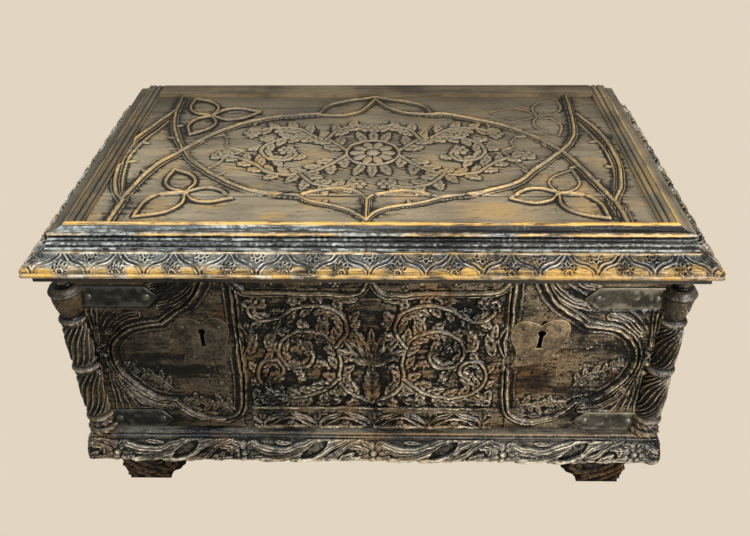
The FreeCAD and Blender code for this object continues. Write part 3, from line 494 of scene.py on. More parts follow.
def finish_nodes(material, *names):
    for name in names:
        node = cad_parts[name]
        node.data.materials.clear()
        node.data.materials.append(material)


finish_nodes(case_oak, "back_board", "bottom_board")
finish_nodes(end_oak, "end_board_left", "end_board_right")


# Front board
# One oak plank carved in relief: cusped arches with leaf spandrels at both ends, and a framed panel between
# two reeded mullions, filled with leafy scrolls. A row of low arches runs along its foot.

case_half, case_front, inner_front = 542.0, -293.65, -269.65
# Painted shade darkens the front board towards its left end.
carved_oak = aged_oak("carved_oak", deep=(0.0045, 0.0036, 0.0026), bare=(0.130, 0.100, 0.061),
                      wear_and_sheen=(0.74, 0.60, 0.38), gloss=0.2, grain=(6, 70, 55), wear=(0.8, 3.6),
                      gilt=(0.20, 0.10, 0.032), blotch=11.0, dirt_and_shade=0.8, flecks=0.7,
                      shade_ramp=(0, 0.12, -0.40, 0.60), tones=(0.88, 1.12), wax=0.38)
keyholes = {"left": (-312.0, 375.5), "right": (312.0, 375.5)}

# The cusped opening of a side panel as (distance from the middle, height): two ogees and a round lobe
opening = np.vstack([
    flowing((298, 522), (306, 483), (327, 448), (352, 426), (372, 411), (390, 396)),
    flowing((390, 396), (420, 392), (452, 382), (476, 361), (490, 335), (491, 302), (480, 267), (458, 237),
            (427, 211), (392, 203)),
    flowing((392, 203), (384, 190), (360, 167), (322, 152), (296, 152), (272, 168), (262, 199), (257, 269),
            (258, 306), (258, 335), (256, 373), (254, 421), (253, 483), (253, 522)),
])
# Steps of the moulding round it: height over distance from its middle line, inwards negative
opening_steps = (
    (-17, 0), (-15.4, 1.4), (-14, 2.6), (-12.6, 0.5), (-9, 0.2), (-6, 1.4), (-3.6, 3.8), (-1.8, 6.0),
    (-0.6, 7.5), (0.6, 6.4), (2.4, 3.4), (4.2, 1.2), (5.6, 0.2), (6.8, 2.6), (8.0, 5.8), (9.2, 4.4),
    (11, 2.0), (13, 0.8), (15, 1.8), (17, 2.2),
)
# Leaf pods in the spandrels, each with its width and the line of its midrib
pods = (
    (14, ((304, 510), (318, 485), (338, 463), (362, 446), (388, 438))),
    (13, ((430, 417), (448, 413), (470, 399), (488, 379))),
    (11, ((352, 506), (372, 488), (398, 480))),
    (11, ((404, 184), (436, 190), (462, 208), (480, 234))),
)
# Fine ribs of the spandrels and the pilasters
thin_ribs = (
    ((412, 434), (438, 437), (462, 428), (484, 409), (500, 385)), ((470, 440), (486, 425), (501, 405)),
    ((330, 508), (348, 485), (372, 470), (384, 462)), ((500, 252), (486, 222), (462, 198), (436, 181)),
    ((497, 276), (482, 222), (466, 178)), ((501, 276), (492, 222), (483, 178)),
    ((505, 276), (501, 222), (498, 178)), ((509, 276), (510, 222), (512, 178)),
    ((408, 181), (440, 182), (470, 181)), ((246, 392), (237, 374), (232, 356), (237, 338), (246, 320)),
    ((250, 392), (246, 372), (243, 356), (246, 338), (250, 320)),
)
pilaster_lines = (
    ((502, 434), (507, 390), (511, 346)), ((511, 434), (512, 390), (513, 346)),
    ((521, 434), (518, 390), (515, 346)), ((512, 330), (505, 300), (501, 262)),
    ((514, 330), (520, 300), (524, 262)), ((506, 334), (513, 325), (520, 314)),
    ((520, 334), (513, 325), (506, 314)),
)
# The scrolls of the middle panel, right half
panel_scrolls = (
    ((8, 206), (40, 222), (62, 258), (58, 308), (72, 356), (116, 380), (160, 362), (172, 322), (152, 292),
     (120, 294), (108, 322), (128, 338)),
    ((60, 262), (98, 228), (146, 212), (194, 226), (216, 262), (206, 300), (178, 306), (166, 280),
     (184, 262)),
    ((66, 340), (44, 378), (54, 418), (92, 438), (136, 432), (168, 410), (204, 404), (222, 426), (206, 446)),
)


# Scrolling stems with a sunk line, leaves to both sides in turn, and a flower at the end of each
def scroll_work(across, along, paths, stem, size, height, spacing):
    lift = np.zeros(across.shape)
    for points in paths:
        path = flowing(*points, steps=14)
        travelled = np.concatenate([[0], np.cumsum(np.linalg.norm(np.diff(path, axis=0), axis=1))])
        for number, stop in enumerate(np.arange(spacing / 2, travelled[-1], spacing)):
            here = [np.interp(stop, travelled, path[:, axis]) for axis in (0, 1)]
            ahead = [np.interp(stop + 2, travelled, path[:, axis]) for axis in (0, 1)]
            heading = math.atan2(ahead[1] - here[1], ahead[0] - here[0])
            turn = heading + (0.8 if number % 2 else -0.8)
            long = size * (1.1 - 0.4 * stop / travelled[-1])
            tip = (here[0] + long * math.cos(turn), here[1] + long * math.sin(turn))
            lift = np.maximum(lift, leaf(across, along, here, tip, long * 0.62, height, 3))
        reach = distance(across, along, path)
        round_stem = roll(reach, stem, height) - 0.9 * np.exp(-(reach / 0.9) ** 2)
        lift = np.where(reach < stem * 0.7, round_stem, lift)
        lift = np.maximum(lift, rosette(across, along, path[-1], size * 0.5, 6, height * 1.1))
    return lift


# The distance to a closed outline, negative inside it
def signed_distance(across, along, ring):
    inside = np.zeros(across.shape, bool)
    for (u0, v0), (u1, v1) in zip(ring, np.roll(ring, -1, axis=0)):
        crossed = ((v0 > along) != (v1 > along)) & (across < (u1 - u0) * (along - v0) / (v1 - v0 + 1e-9) + u0)
        inside ^= crossed
    return np.where(inside, -1, 1) * distance(across, along, ring)


def thin_work(across, along, paths, width, height):
    lift = np.zeros(across.shape)
    for points in paths:
        lift = np.maximum(lift, roll(distance(across, along, flowing(*points)), width, height))
    return lift


def side_panel(x, z):
    far = np.abs(x) + np.where(x < 0, 7, -1)
    edge = signed_distance(far, z, opening)
    steps = np.array(opening_steps)
    lift = np.interp(edge, steps[:, 0], steps[:, 1])
    lift = np.where((edge > 13) & (far < 262), 0, lift)
    carved = np.zeros(x.shape)
    for width, points in pods:
        reach = distance(far, z, flowing(*points))
        carved = np.maximum(carved, roll(np.abs(reach - width / 2), 4.4, 6.4))
        carved = np.maximum(carved, roll(reach, 5, 5.4))
        carved = np.maximum(carved, roll(np.hypot(far - points[-1][0], z - points[-1][1]), 13, 7.0))
    carved = np.maximum(carved, thin_work(far, z, thin_ribs, 5.0, 5.4))
    carved = np.maximum(carved, thin_work(far, z, pilaster_lines, 4.6, 6.6) * (z < 434))
    for centre in ((512, 342), (513, 306), (512, 281)):
        carved = np.maximum(carved, roll(np.hypot((far - centre[0]) / 1.5, z - centre[1]), 13, 7.4))
    outside = (edge > 10) | ((edge > 0) & (far < 262))
    return np.maximum(lift, carved * outside)


# The rail over the framed panel: a drooping lower edge with a round along it, and small flowers above
def panel_head(x, z):
    far = np.abs(x)
    half_width = 262
    droop = flowing((262, 512), (251, 487), (234, 467), (213, 460), (160, 459), (91, 457), (52, 454),
                    (27, 456), (12, 463), (5, 473), (0, 485), steps=7)
    above = (z > np.interp(far, droop[::-1, 0], droop[::-1, 1])) & (far < half_width)
    reach = distance(far, z, droop)
    lift = np.where(above, 3.0 + 0.8 * unevenness(x * 0.4, z, 6, 13), 0)
    lift = np.where(above & (reach < 15), roll(np.abs(reach - 8), 13, 7.4), lift)
    lift = np.maximum(lift, roll(reach, 3.6, 5.6))
    for centre, level, radius in ((62, 489, 12), (188, 491, 11), (0, 506, 8)):
        lift = np.maximum(lift, rosette(far, z, (centre, level), radius, 6, 7.4))
    for centre, level in ((88, 488), (118, 496), (150, 486), (30, 492), (216, 494)):
        lift = np.maximum(lift, roll(np.hypot(far - centre, z - level), 9, 6.2))
    return lift


# Ogee arches with a low dark arch and a crest under each, and a hanging leaf between them
def arcade(x, z):
    bay_width = 109.0
    local = np.abs((x / bay_width) % 1 - 0.5) * bay_width
    inside = (np.abs(x) < 240) & (z < 187)
    lift = np.where((local < 40) & (z < 156 - (local / 9.5) ** 2), -1.4, 1.6)
    ogees = (((53, 133), (47, 145), (33, 155), (15, 161), (2, 172)),
             ((51, 143), (44, 152), (32, 162), (16, 168), (7, 174)),
             ((41, 134), (31, 142), (16, 153), (0, 157)))
    lift = np.maximum(lift, thin_work(local, z, ogees, 4.4, 6.2))
    lift = np.maximum(lift, rosette(local, z, (0, 133), 14, 5, 6.0))
    hanging = (((54, 174), (54, 150), 20), ((52, 170), (34, 167), 10), ((54, 146), (54, 134), 8))
    lift = np.maximum(lift, leaves(local, z, hanging, 5.6, 2))
    lift = np.maximum(lift, np.where((z > 174) & (z < 184), 5.2 + 0.5 * unevenness(x, z, 5, 14), 0))
    lift = np.maximum(lift, roll(np.abs(z - 185), 5, 6.6))
    lift = np.maximum(lift, roll(np.abs(z - 131), 5, 5.4))
    return lift * inside


def centre_foliage(x, z):
    far = np.abs(x)
    lift = scroll_work(far, z, panel_scrolls, 9, 36, 6.6, 17)
    for angle in np.linspace(-1.3, 1.3, 7):
        tip = (66 * math.sin(angle), 316 + 70 * math.cos(angle))
        lift = np.maximum(lift, leaf(x, z, (0, 298), tip, 25, 7.2, 3))
    lift = np.maximum(lift, leaf(far, z, (0, 196), (0, 302), 34, 6.8, 5))
    for root, tip in (((6, 202), (52, 198)), ((60, 204), (108, 196)), ((116, 202), (160, 196)),
                      ((168, 206), (216, 198)), ((226, 232), (222, 196)), ((228, 320), (212, 372)),
                      ((226, 350), (228, 396)), ((150, 446), (112, 458)), ((66, 450), (22, 452)),
                      ((98, 378), (78, 420)), ((196, 340), (176, 384))):
        lift = np.maximum(lift, leaf(far, z, root, tip, 22, 5.6, 3))
    dice = np.random.default_rng(21)
    for centre in ((186, 344), (30, 394), (90, 300), (138, 262), (90, 400)):
        for _ in range(9):
            turn, reach = dice.uniform(0, 2 * math.pi), dice.uniform(0, 14)
            berry = np.hypot(far - centre[0] - reach * math.cos(turn), z - centre[1] - reach * math.sin(turn))
            lift = np.maximum(lift, roll(berry, 9.5, 6.8))
    for centre in ((222, 200), (220, 442)):
        lift = np.maximum(lift, roll(np.abs(np.hypot(far - centre[0], z - centre[1]) - 8), 5, 6.0))
    inside = smooth_step((234 - far) / 3) * smooth_step((z - 187) / 3)
    return (lift + 0.6 * unevenness(x, z, 4, 22) * (lift > 1.5)) * inside


def side_sprigs(x, z):
    far = np.abs(x)
    lift = scroll_work(far, z, (((270, 176), (296, 196), (326, 190), (354, 206), (372, 190)),), 5, 24, 4.6, 9)
    for root, tip in (((276, 168), (300, 164)), ((306, 164), (334, 166)), ((338, 172), (362, 182))):
        lift = np.maximum(lift, leaf(far, z, root, tip, 13, 4.2, 2))
    shift = np.where(x < 0, 0, 14)
    bough = ((386, 232), (408, 262), (436, 272), (464, 292))
    lift = np.maximum(lift, scroll_work(far, z - shift, (bough,), 5, 22, 4.4, 9))
    return lift + 0.5 * unevenness(x, z, 4, 23) * (lift > 1.0)


# Iron lies on flat wood: the carving stops round the heart plates and the corner straps.
def flat_seats(x, z):
    far = np.abs(x)
    heart = np.hypot((far - 312) / 61, (z - 356) / 64)
    tail = np.hypot((x - np.where(x < 0, -344, 278)) / 29, (z - 308) / 29)
    clear = smooth_step((np.minimum(heart, tail) - 0.99) / 0.07)
    for level, tip in ((456, 376), (151.3, 394)):
        half = np.clip(far - tip + 3, 0, 25)
        clear *= smooth_step((np.abs(z - level) - half) / 2.0) * (far > tip - 3) + (far <= tip - 3)
    return clear


def keyhole_region(x, z, centre, round_level, slot_half=5.5, slot_length=37, round_radius=9.2):
    slot = abs(x - centre) < slot_half and round_level - slot_length < z < round_level
    return slot or math.hypot(x - centre, z - round_level) < round_radius


# A flat back: the rim of a carved face is drawn straight to it, without wear or gilding.
def flat_back(bm, axis, depth):
    rim = [edge for edge in bm.edges if edge.is_boundary]
    back = bmesh.ops.extrude_edge_only(bm, edges=rim)["geom"]
    layers = bm.verts.layers.float.values()
    for vert in (item for item in back if isinstance(item, bmesh.types.BMVert)):
        vert.co[axis] = depth / 1000
        for layer in layers:
            vert[layer] = 0.0
    bmesh.ops.triangle_fill(bm, edges=[item for item in back if isinstance(item, bmesh.types.BMEdge)])


def front_panel(name, x_low, x_high, columns, rows, hole):
    x, z = np.meshgrid(np.linspace(x_low, x_high, columns),
                       np.concatenate([[62.0], np.linspace(122, 512, rows - 1)]))
    u, v = wandering(x, z, 1.4, 15, 35)
    if hole:
        panel = np.maximum(side_panel(u, v), side_sprigs(u, v)) * flat_seats(x, z)
    else:
        panel = np.maximum(np.maximum(side_panel(u, v), arcade(u, v)), centre_foliage(u, v))
        panel = np.where((z < 172) & (np.abs(x) < 234), arcade(u, v), panel)
    panel = panel * (1 + 0.2 * unevenness(x, z, 11, 37))
    lift = np.maximum(panel, panel_head(u, v)) * smooth_step((case_half + 0.01 - np.abs(x)) / 3)
    lift = lift + 0.5 * unevenness(x, z, 34, 11) + 0.55 * unevenness(x * 0.35, z, 5, 12)
    lift = lift + 0.4 * unevenness(x, z, 3.4, 15) + 0.5 * unevenness(x, z, 8, 16)
    lift = np.where(z < 129, 0, np.clip(lift, -1.5, 7.6))
    places = np.stack([x, case_front - lift, z], axis=2) / 1000
    gold = smooth_step((unevenness(x, z, 46, 31) - 0.05) * 2)
    gold = gold * np.interp(x, [-542, -200, 230, 250], [0.25, 0.6, 0.6, 0.25])
    gold = gold + 0.8 * np.exp(-((x - 288) / 46) ** 2 - ((z - 262) / 50) ** 2) * (x > 262)
    bm = carved_grid(places, 1, 3, gold)
    if hole:
        centre, level = hole
        inside = [face for face in bm.faces
                  if keyhole_region(face.calc_center_median().x * 1000,
                                    face.calc_center_median().z * 1000, centre, level)]
        bmesh.ops.delete(bm, geom=inside, context="FACES")
    flat_back(bm, 1, inner_front)
    add_piece(name, closed_mesh(name, bm), carved_oak, "case", "front_board")


panel_edge = 236
front_panel("front_carving_left", -case_half, -panel_edge, columns=186, rows=240, hole=keyholes["left"])
front_panel("front_carving_centre", -panel_edge, panel_edge, columns=262, rows=230, hole=None)
front_panel("front_carving_right", panel_edge, case_half, columns=186, rows=240, hole=keyholes["right"])


# Corner columns
# Turned oak shafts cut with spiral flutes, standing on the plinth at the front corners.
# Rings part the shaft, an urn shaped cap carries a dark block under the lid, and a quarter is cut away.

column_oak = aged_oak("column_oak", deep=(0.006, 0.005, 0.004), bare=(0.070, 0.053, 0.034),
                      wear_and_sheen=(0.62, 0.51, 0.34), gloss=0.22, grain=(60, 60, 14), wear=(0.7, 2.4),
                      gilt=(0.22, 0.12, 0.03), dirt_and_shade=0.8)
lower_shaft, upper_shaft, shaft_length = (175, 287), (304, 401), 112


def shaft(low, high, count, radii):
    share = np.linspace(0, 1, count)
    return np.stack([np.interp(share, [0, 0.5, 1], radii), np.linspace(low, high, count)], axis=1)


# The turned outline as (radius, height), from the foot rings up to the block under the lid
column_outline = np.vstack([
    arc_between((24, 128.3), (24, 141), -4.5, 8), arc_between((19, 143), (19, 158), -5.0, 8),
    arc_between((21, 160), (21, 174), -6.0, 9), shaft(*lower_shaft, 62, [21.5, 23, 21.5]),
    arc_between((21, 288), (21, 303), -6.0, 9), shaft(*upper_shaft, 54, [21.5, 22.5, 20.5]),
    arc_between((19.5, 402), (19.5, 416), -6.0, 9),
    flowing((19, 418), (20.5, 426), (23.5, 438), (25.8, 450), (27.0, 461), (27.0, 466), steps=5),
    arc_between((28, 467.5), (28, 475), -2.4, 7), flowing((27, 476.5), (24, 481.5), (16.5, 485), steps=4),
    arc_between((14.5, 487), (16, 511.7), -1.5, 7),
])


def column(side, name, node, twist, gold):
    radius, level = column_outline[:, 0][:, None], column_outline[:, 1][:, None]
    columns = 190
    angle = np.linspace(0, 1.5 * math.pi, columns)[None, :]
    fade = sum(np.where((level > low) & (level < high), np.minimum(level - low, high - level), 0)
               for low, high in (lower_shaft, upper_shaft))
    fade = smooth_step(fade / 9)
    wander = 0.10 * np.sin((level - lower_shaft[0]) / shaft_length * 2 * math.pi)
    sweep = twist * (level / shaft_length + wander) * math.pi
    wave = 0.5 + 0.5 * np.cos(14 * (angle - sweep))
    groove = (5.4 * wave ** 2.4 - 2.2) * fade
    rope = ((level > 143) & (level < 158)) | ((level > 128) & (level < 141))
    rope_wave = 1.1 * np.cos(11 * (angle + twist * level / 20)) * rope
    radius = radius + groove + rope_wave + 0.45 * unevenness(angle * 22, level + 0 * angle, 6, 41)
    start = math.pi if side > 0 else math.pi / 2
    facing_front = 3 * math.pi / 2 - start + side * 0.35
    flower = rosette((angle - facing_front) * 26, level + 0 * angle, (0, 448), 9, 6, 3.0)
    lumps = 0.9 * unevenness(angle * 24, level + 0 * angle, 9, 44) * (level > 422) * (level < 466)
    radius = radius + flower + lumps
    turn = start + angle
    centre_x, centre_y = side * case_half, case_front
    places = np.stack(np.broadcast_arrays(centre_x + radius * np.cos(turn), centre_y + radius * np.sin(turn),
                                          level + 0 * turn), axis=2) / 1000
    rubbed = smooth_step((unevenness(angle * 22, level + 0 * angle, 40, 43) + 0.2) * 2) * (level < 470)
    bm = carved_grid(places, 1, 2, np.clip(gold * rubbed, 0, 1))
    for level_end in (column_outline[0, 1], column_outline[-1, 1]):
        bm.verts.new((centre_x / 1000, centre_y / 1000, level_end / 1000))
    bm.verts.ensure_lookup_table()
    foot_vert, head_vert = bm.verts[-2], bm.verts[-1]
    rows = len(column_outline)
    grid = [bm.verts[number] for number in range(rows * columns)]
    bm.faces.new([foot_vert] + grid[:columns])
    bm.faces.new([head_vert] + grid[(rows - 1) * columns:][::-1])
    bm.faces.new([foot_vert, head_vert] + grid[::columns][::-1])
    bm.faces.new([foot_vert, head_vert] + grid[columns - 1::columns][::-1])
    add_piece(name, closed_mesh(name, bm), column_oak, "case", node)


column(-1, "twisted_column_left", "corner_column_left", twist=0.66, gold=0.25)
column(1, "twisted_column_right", "corner_column_right", twist=1.05, gold=0.7)


# Corner straps
# Hammered wrought iron straps, 3 mm thick, bent round the front corners under the columns and nailed.
# Their ends are cut to a point; the nails are forged with low domed heads.

def old_iron(name, dark, light, roughness, speck=260.0):
    material, tree, shader = shader_tree(name)
    place = joined(tree, "TexCoord", {}, "Object")
    grit = noise(tree, place, (speck, speck, speck), 4.0)
    cloud = noise(tree, place, (30, 30, 30), 3.0)
    crest = joined(tree, "Attribute", {}, "Fac", attribute_name="crest")
    tone = added(tree, grit, cloud)
    colour = blended(tree, ramped(tree, tone, 0.8, 1.25), dark, light)
    colour = blended(tree, ramped(tree, crest, 0.2, 0.9), colour, tuple(part * 2.2 for part in light))
    normal = joined(tree, "Bump", {"Strength": 0.45, "Distance": 0.0009, "Height": tone})
    filled(tree, shader, {"Base Color": colour, "Metallic": 0.35, "Roughness": roughness, "Normal": normal})
    return material


# Lit and shaded copies: the left straps are painted darker as shade, the right ones lighter as lit.
shaded_and_lit_strap_irons = {
    -1: old_iron("strap_iron_left_shaded", (0.006, 0.006, 0.0055), (0.036, 0.034, 0.028), roughness=0.36),
    1: old_iron("strap_iron_right_lit", (0.020, 0.018, 0.014), (0.092, 0.082, 0.060), roughness=0.36),
}
strap_half, strap_thick, strap_return, strap_point = 23.0, 3.0, 150, 22
# The section of a strap with eased edges, as shares of its half width and its thickness
strap_section = np.array([(-1, 0), (-1, 0.6), (-0.965, 0.93), (-0.9, 1.0), (-0.6, 1.0), (-0.3, 1.0), (0, 1.0),
                          (0.3, 1.0), (0.6, 1.0), (0.9, 1.0), (0.965, 0.93), (1, 0.6), (1, 0)])


def corner_strap(name, side, level, reach, node, seed):
    run = np.concatenate([np.linspace(-reach, -0.5, 74), [0], np.linspace(0.5, strap_return, 66)])[None, :]
    point = smooth_step((run + reach) / 30) * 0.25 + np.clip((run + reach) / strap_point, 0, 1) * 0.75
    half = strap_half * np.minimum(point, np.clip((strap_return - run) / strap_point, 0, 1))
    half = np.maximum(half, 0.6)
    width, depth = strap_section[:, 0][:, None], strap_section[:, 1][:, None]
    z = level + width * half
    dent = 0.35 * unevenness(run + 0 * z, z, 12, seed) + 0.2 * unevenness(run + 0 * z, z, 5, seed + 1)
    depth = depth * strap_thick + np.where(depth > 0.9, dent - 0.3, 0)
    x = case_half + np.where(run < 0, run, depth)
    y = case_front + np.where(run > 0, run, -depth)
    places = np.stack(np.broadcast_arrays(side * x, y, z), axis=2) / 1000
    mesh = moulding_mesh(name, places, side, 2)
    add_piece(name, mesh, shaded_and_lit_strap_irons[side], "case", node)


for side, hand in hands:
    corner_strap("iron_strap_upper_" + hand, side, level=456.0, reach=164.0,
                 node="corner_strap_upper_" + hand, seed=51 + side)
    corner_strap("iron_strap_lower_" + hand, side, level=151.3, reach=146.0,
                 node="corner_strap_lower_" + hand, seed=55 + side)
nail_iron = old_iron("nail_iron", (0.025, 0.024, 0.021), (0.13, 0.12, 0.095), 0.4, speck=400.0)
finish_nodes(nail_iron, "strap_nails")


# Escutcheons
# Heart shaped plates of thin wrought iron, browned with age, whose tips lean to the left.
# Three small nails hold each of them; the keyhole is sawn through the middle.

# Lit and shaded copies: the left plate is painted darker as shade, the right one lighter as lit.
shaded_and_lit_heart_irons = {
    "left": old_iron("heart_iron_left_shaded", (0.020, 0.016, 0.011), (0.110, 0.085, 0.054), 0.36, speck=180.0),
    "right": old_iron("heart_iron_right_lit", (0.075, 0.056, 0.034), (0.320, 0.230, 0.130), 0.4, speck=180.0),
}
plate_thick, keyhole_radius = 3.0, 7.5
# Half outlines as (across, height): from the notch round the right lobe, and from the tip up the left side
heart_halves = {
    "left": (((-310, 396), (-297, 407), (-278, 407), (-263, 393), (-262, 368), (-274, 338), (-295, 314),
              (-323, 301), (-356, 295)),
             ((-356, 295), (-349, 327), (-353, 351), (-364, 374), (-363, 390), (-354, 404), (-338, 408),
              (-322, 405), (-310, 396))),
    "right": (((309, 393), (324, 405), (343, 408), (357, 401), (363, 387), (359, 363), (345, 335),
               (325, 311), (295, 299), (262, 294)),
              ((262, 294), (269, 313), (268, 334), (260, 353), (256, 371), (260, 392), (273, 403),
               (290, 403), (309, 393))),
}


def ring_of(points, depth, bm):
    verts = [bm.verts.new((u / 1000, depth / 1000, v / 1000)) for u, v in points]
    return [bm.edges.new((verts[number - 1], verts[number])) for number in range(len(verts))]


def keyhole_outline(centre, round_level, lean):
    half, foot_level = 4.0, round_level - 35.5
    mouth = math.asin(half / keyhole_radius)
    turns = np.linspace(-math.pi / 2 + mouth, 1.5 * math.pi - mouth, 22)
    points = [(centre + keyhole_radius * math.cos(turn), round_level + keyhole_radius * math.sin(turn))
              for turn in turns]
    points += [(centre - half - lean, foot_level + 8), (centre - half - 2 - lean, foot_level),
               (centre + half + 2 - lean, foot_level), (centre + half - lean, foot_level + 8)]
    return points


def escutcheon(name, hand, lean, node):
    right_side, left_side = (flowing(*half, steps=4) for half in heart_halves[hand])
    outline = np.vstack([right_side[:-1], left_side[:-1]])[::-1]
    bm = bmesh.new()
    rim = ring_of(outline, case_front, bm)
    hole = ring_of(keyhole_outline(*keyholes[hand], lean), case_front, bm)
    bmesh.ops.triangle_fill(bm, edges=rim + hole)
    raised = bmesh.ops.extrude_face_region(bm, geom=bm.faces[:])["geom"]
    raised = [item for item in raised if isinstance(item, bmesh.types.BMVert)]
    bmesh.ops.translate(bm, verts=raised, vec=(0, -plate_thick / 1000, 0))
    bmesh.ops.recalc_face_normals(bm, faces=bm.faces)
    top = set(raised)
    edges = [edge for edge in bm.edges if all(vert in top for vert in edge.verts)
             and edge.calc_face_angle(0) > 1.0]
    bmesh.ops.bevel(bm, geom=edges, offset=0.0013, affect="EDGES", segments=2, profile=0.5, material=-1)
    bm.normal_update()
    crest_layer = bm.verts.layers.float.new("crest")
    for vert in bm.verts:
        if all(0.1 < abs(face.normal.y) < 0.985 for face in vert.link_faces):
            vert[crest_layer] = 1.0
    add_piece(name, closed_mesh(name, bm), shaded_and_lit_heart_irons[hand], "case", node, sharp=35)


escutcheon("heart_plate_left", "left", lean=0.0, node="escutcheon_left")
escutcheon("heart_plate_right", "right", lean=2.0, node="escutcheon_right")
finish_nodes(nail_iron, "escutcheon_nails")


# Locks
# Sheet iron boxes screwed behind the front board, with a sliding bolt, two keepers and a drill pin.
# Their staples hang from the lid's frame.

lock_iron = old_iron("lock_iron", (0.03, 0.026, 0.022), (0.13, 0.11, 0.09), 0.45)
finish_nodes(lock_iron, *(part + hand for _, hand in hands
                          for part in ("lock_case_", "lock_bolt_", "lock_drill_pin_", "lid_staple_")))
finish_nodes(nail_iron, "lock_screws")


# Hinges
# Two forged strap hinges on the back, their leaves nailed to case and lid, turning on riveted pins.

hinge_iron = old_iron("hinge_iron", (0.025, 0.024, 0.022), (0.11, 0.10, 0.09), 0.45)
finish_nodes(hinge_iron, *(part + hand for _, hand in hands
                           for part in ("hinge_leaf_case_", "hinge_leaf_lid_", "hinge_pin_")))
finish_nodes(nail_iron, "case_hinge_nails", "lid_hinge_nails")


# Lid frame
# A plain set-back frame of oak rails under the mouldings; it closes on the top of the case. The front and back
# rails are painted nearly black as the shade under the mouldings.

# Painted shade: these rails are much darker than the end rails.
shaded_frame_oak = aged_oak("shaded_frame_oak", deep=(0.006, 0.005, 0.004), bare=(0.040, 0.030, 0.019),
                     wear_and_sheen=(0.2, 0.15, 0.1), gloss=0.4)
frame_side_oak = aged_oak("frame_side_oak", deep=(0.016, 0.013, 0.010), bare=(0.10, 0.08, 0.055),
                          wear_and_sheen=(0.2, 0.15, 0.1), gloss=0.4, grain=(70, 5, 70))
finish_nodes(shaded_frame_oak, "lid_frame_front", "lid_frame_back")
finish_nodes(frame_side_oak, "lid_frame_left", "lid_frame_right")


# Carved edge of the lid
# A cyma moulding cut with a net of doubled ogee ribs: a flower stands under each arch and a bud hangs
# between them. Rubbing has bared the ochre wood along its lower edge.

# Painted shade darkens the carved edge towards the right; its pale crest colour also serves as painted sheen.
edge_oak = aged_oak("edge_oak", deep=(0.010, 0.010, 0.010), bare=(0.130, 0.120, 0.098),
                    wear_and_sheen=(0.76, 0.74, 0.66), gloss=0.17, wear=(0.4, 1.7), gilt=(0.66, 0.38, 0.08),
                    blotch=14.0, dirt_and_shade=0.6, shade_ramp=(0, -0.1, 0.5, 0.42))
cyma_section = np.vstack([
    [(110, 540), (13.0, 540), (12.9, 532), (11.6, 528), (8.2, 525.6), (4.8, 525.8)],
    [(2.2, 527.6), (0.6, 530.2), (0.2, 532.4), (0.4, 534.2), (1.4, 535.4)],
    flowing((2.0, 536.2), (2.3, 539), (2.8, 542), (4.0, 544.6), (7.5, 546.8), (12, 548.8), (18, 550.6),
            (23, 552.2), (28, 554.6), (32.5, 557.2), steps=5),
    [(33.4, 557.6), (34.0, 558.8), (34.9, 559.9), (35.9, 559.8), (36.6, 558.6), (37.0, 557.4), (40.4, 557.4)],
    [(40.8, 560.5), (110, 560.5)],
])
# The carving starts at this row of the section; one bay of its net is this long.
carving_foot = 11
bay = 94.5


def spoke(centre, reach, degrees):
    turn = math.radians(degrees)
    return (centre[0] + reach * math.cos(turn), centre[1] + reach * math.sin(turn))


# One bay: a doubled rib between hollow petals, over the distance climbed up the section
def ogee_net(along, climbed, start):
    place = (along - start) / bay
    local = np.abs(place - np.round(place)) * bay
    half = bay / 2
    height = np.interp(climbed, [1, 40], [0, 34])
    rib = flowing((half - 2, 1), (half - 5, 8), (half - 13, 15), (half - 26, 20), (half * 0.28, 25),
                  (half * 0.14, 34), steps=6)
    reach = distance(local, height, rib)
    lift = roll(np.abs(reach - 3.6), 3.0, 3.0) - 1.3 * np.exp(-(reach / 1.6) ** 2)
    for turn, length, width in ((92, 19, 8.5), (57, 18, 8.5), (25, 17, 8), (-6, 13, 6)):
        petal = sunk_petal(local, height, (0, 5), spoke((0, 5), length, turn), width, 2.6)
        lift = np.where(np.abs(petal) > np.abs(lift), petal, lift)
    eye = np.hypot(local, height - 3)
    lift = np.where(eye < 7.2, roll(np.abs(eye - 5.2), 3.0, 3.4) - 1.0 * (eye < 3.6), lift)
    for turn, length, width in ((-90, 15, 8), (-48, 14, 7), (-14, 13, 7)):
        tip = (half - length * math.cos(math.radians(turn)), 34 + length * math.sin(math.radians(turn)))
        petal = sunk_petal(local, height, (half, 34), tip, width, 2.2)
        lift = np.where(np.abs(petal) > np.abs(lift), petal, lift)
    bud = np.hypot(half - local, height - 33)
    return np.where(bud < 7, roll(np.abs(bud - 5.6), 2.6, 2.8), lift)


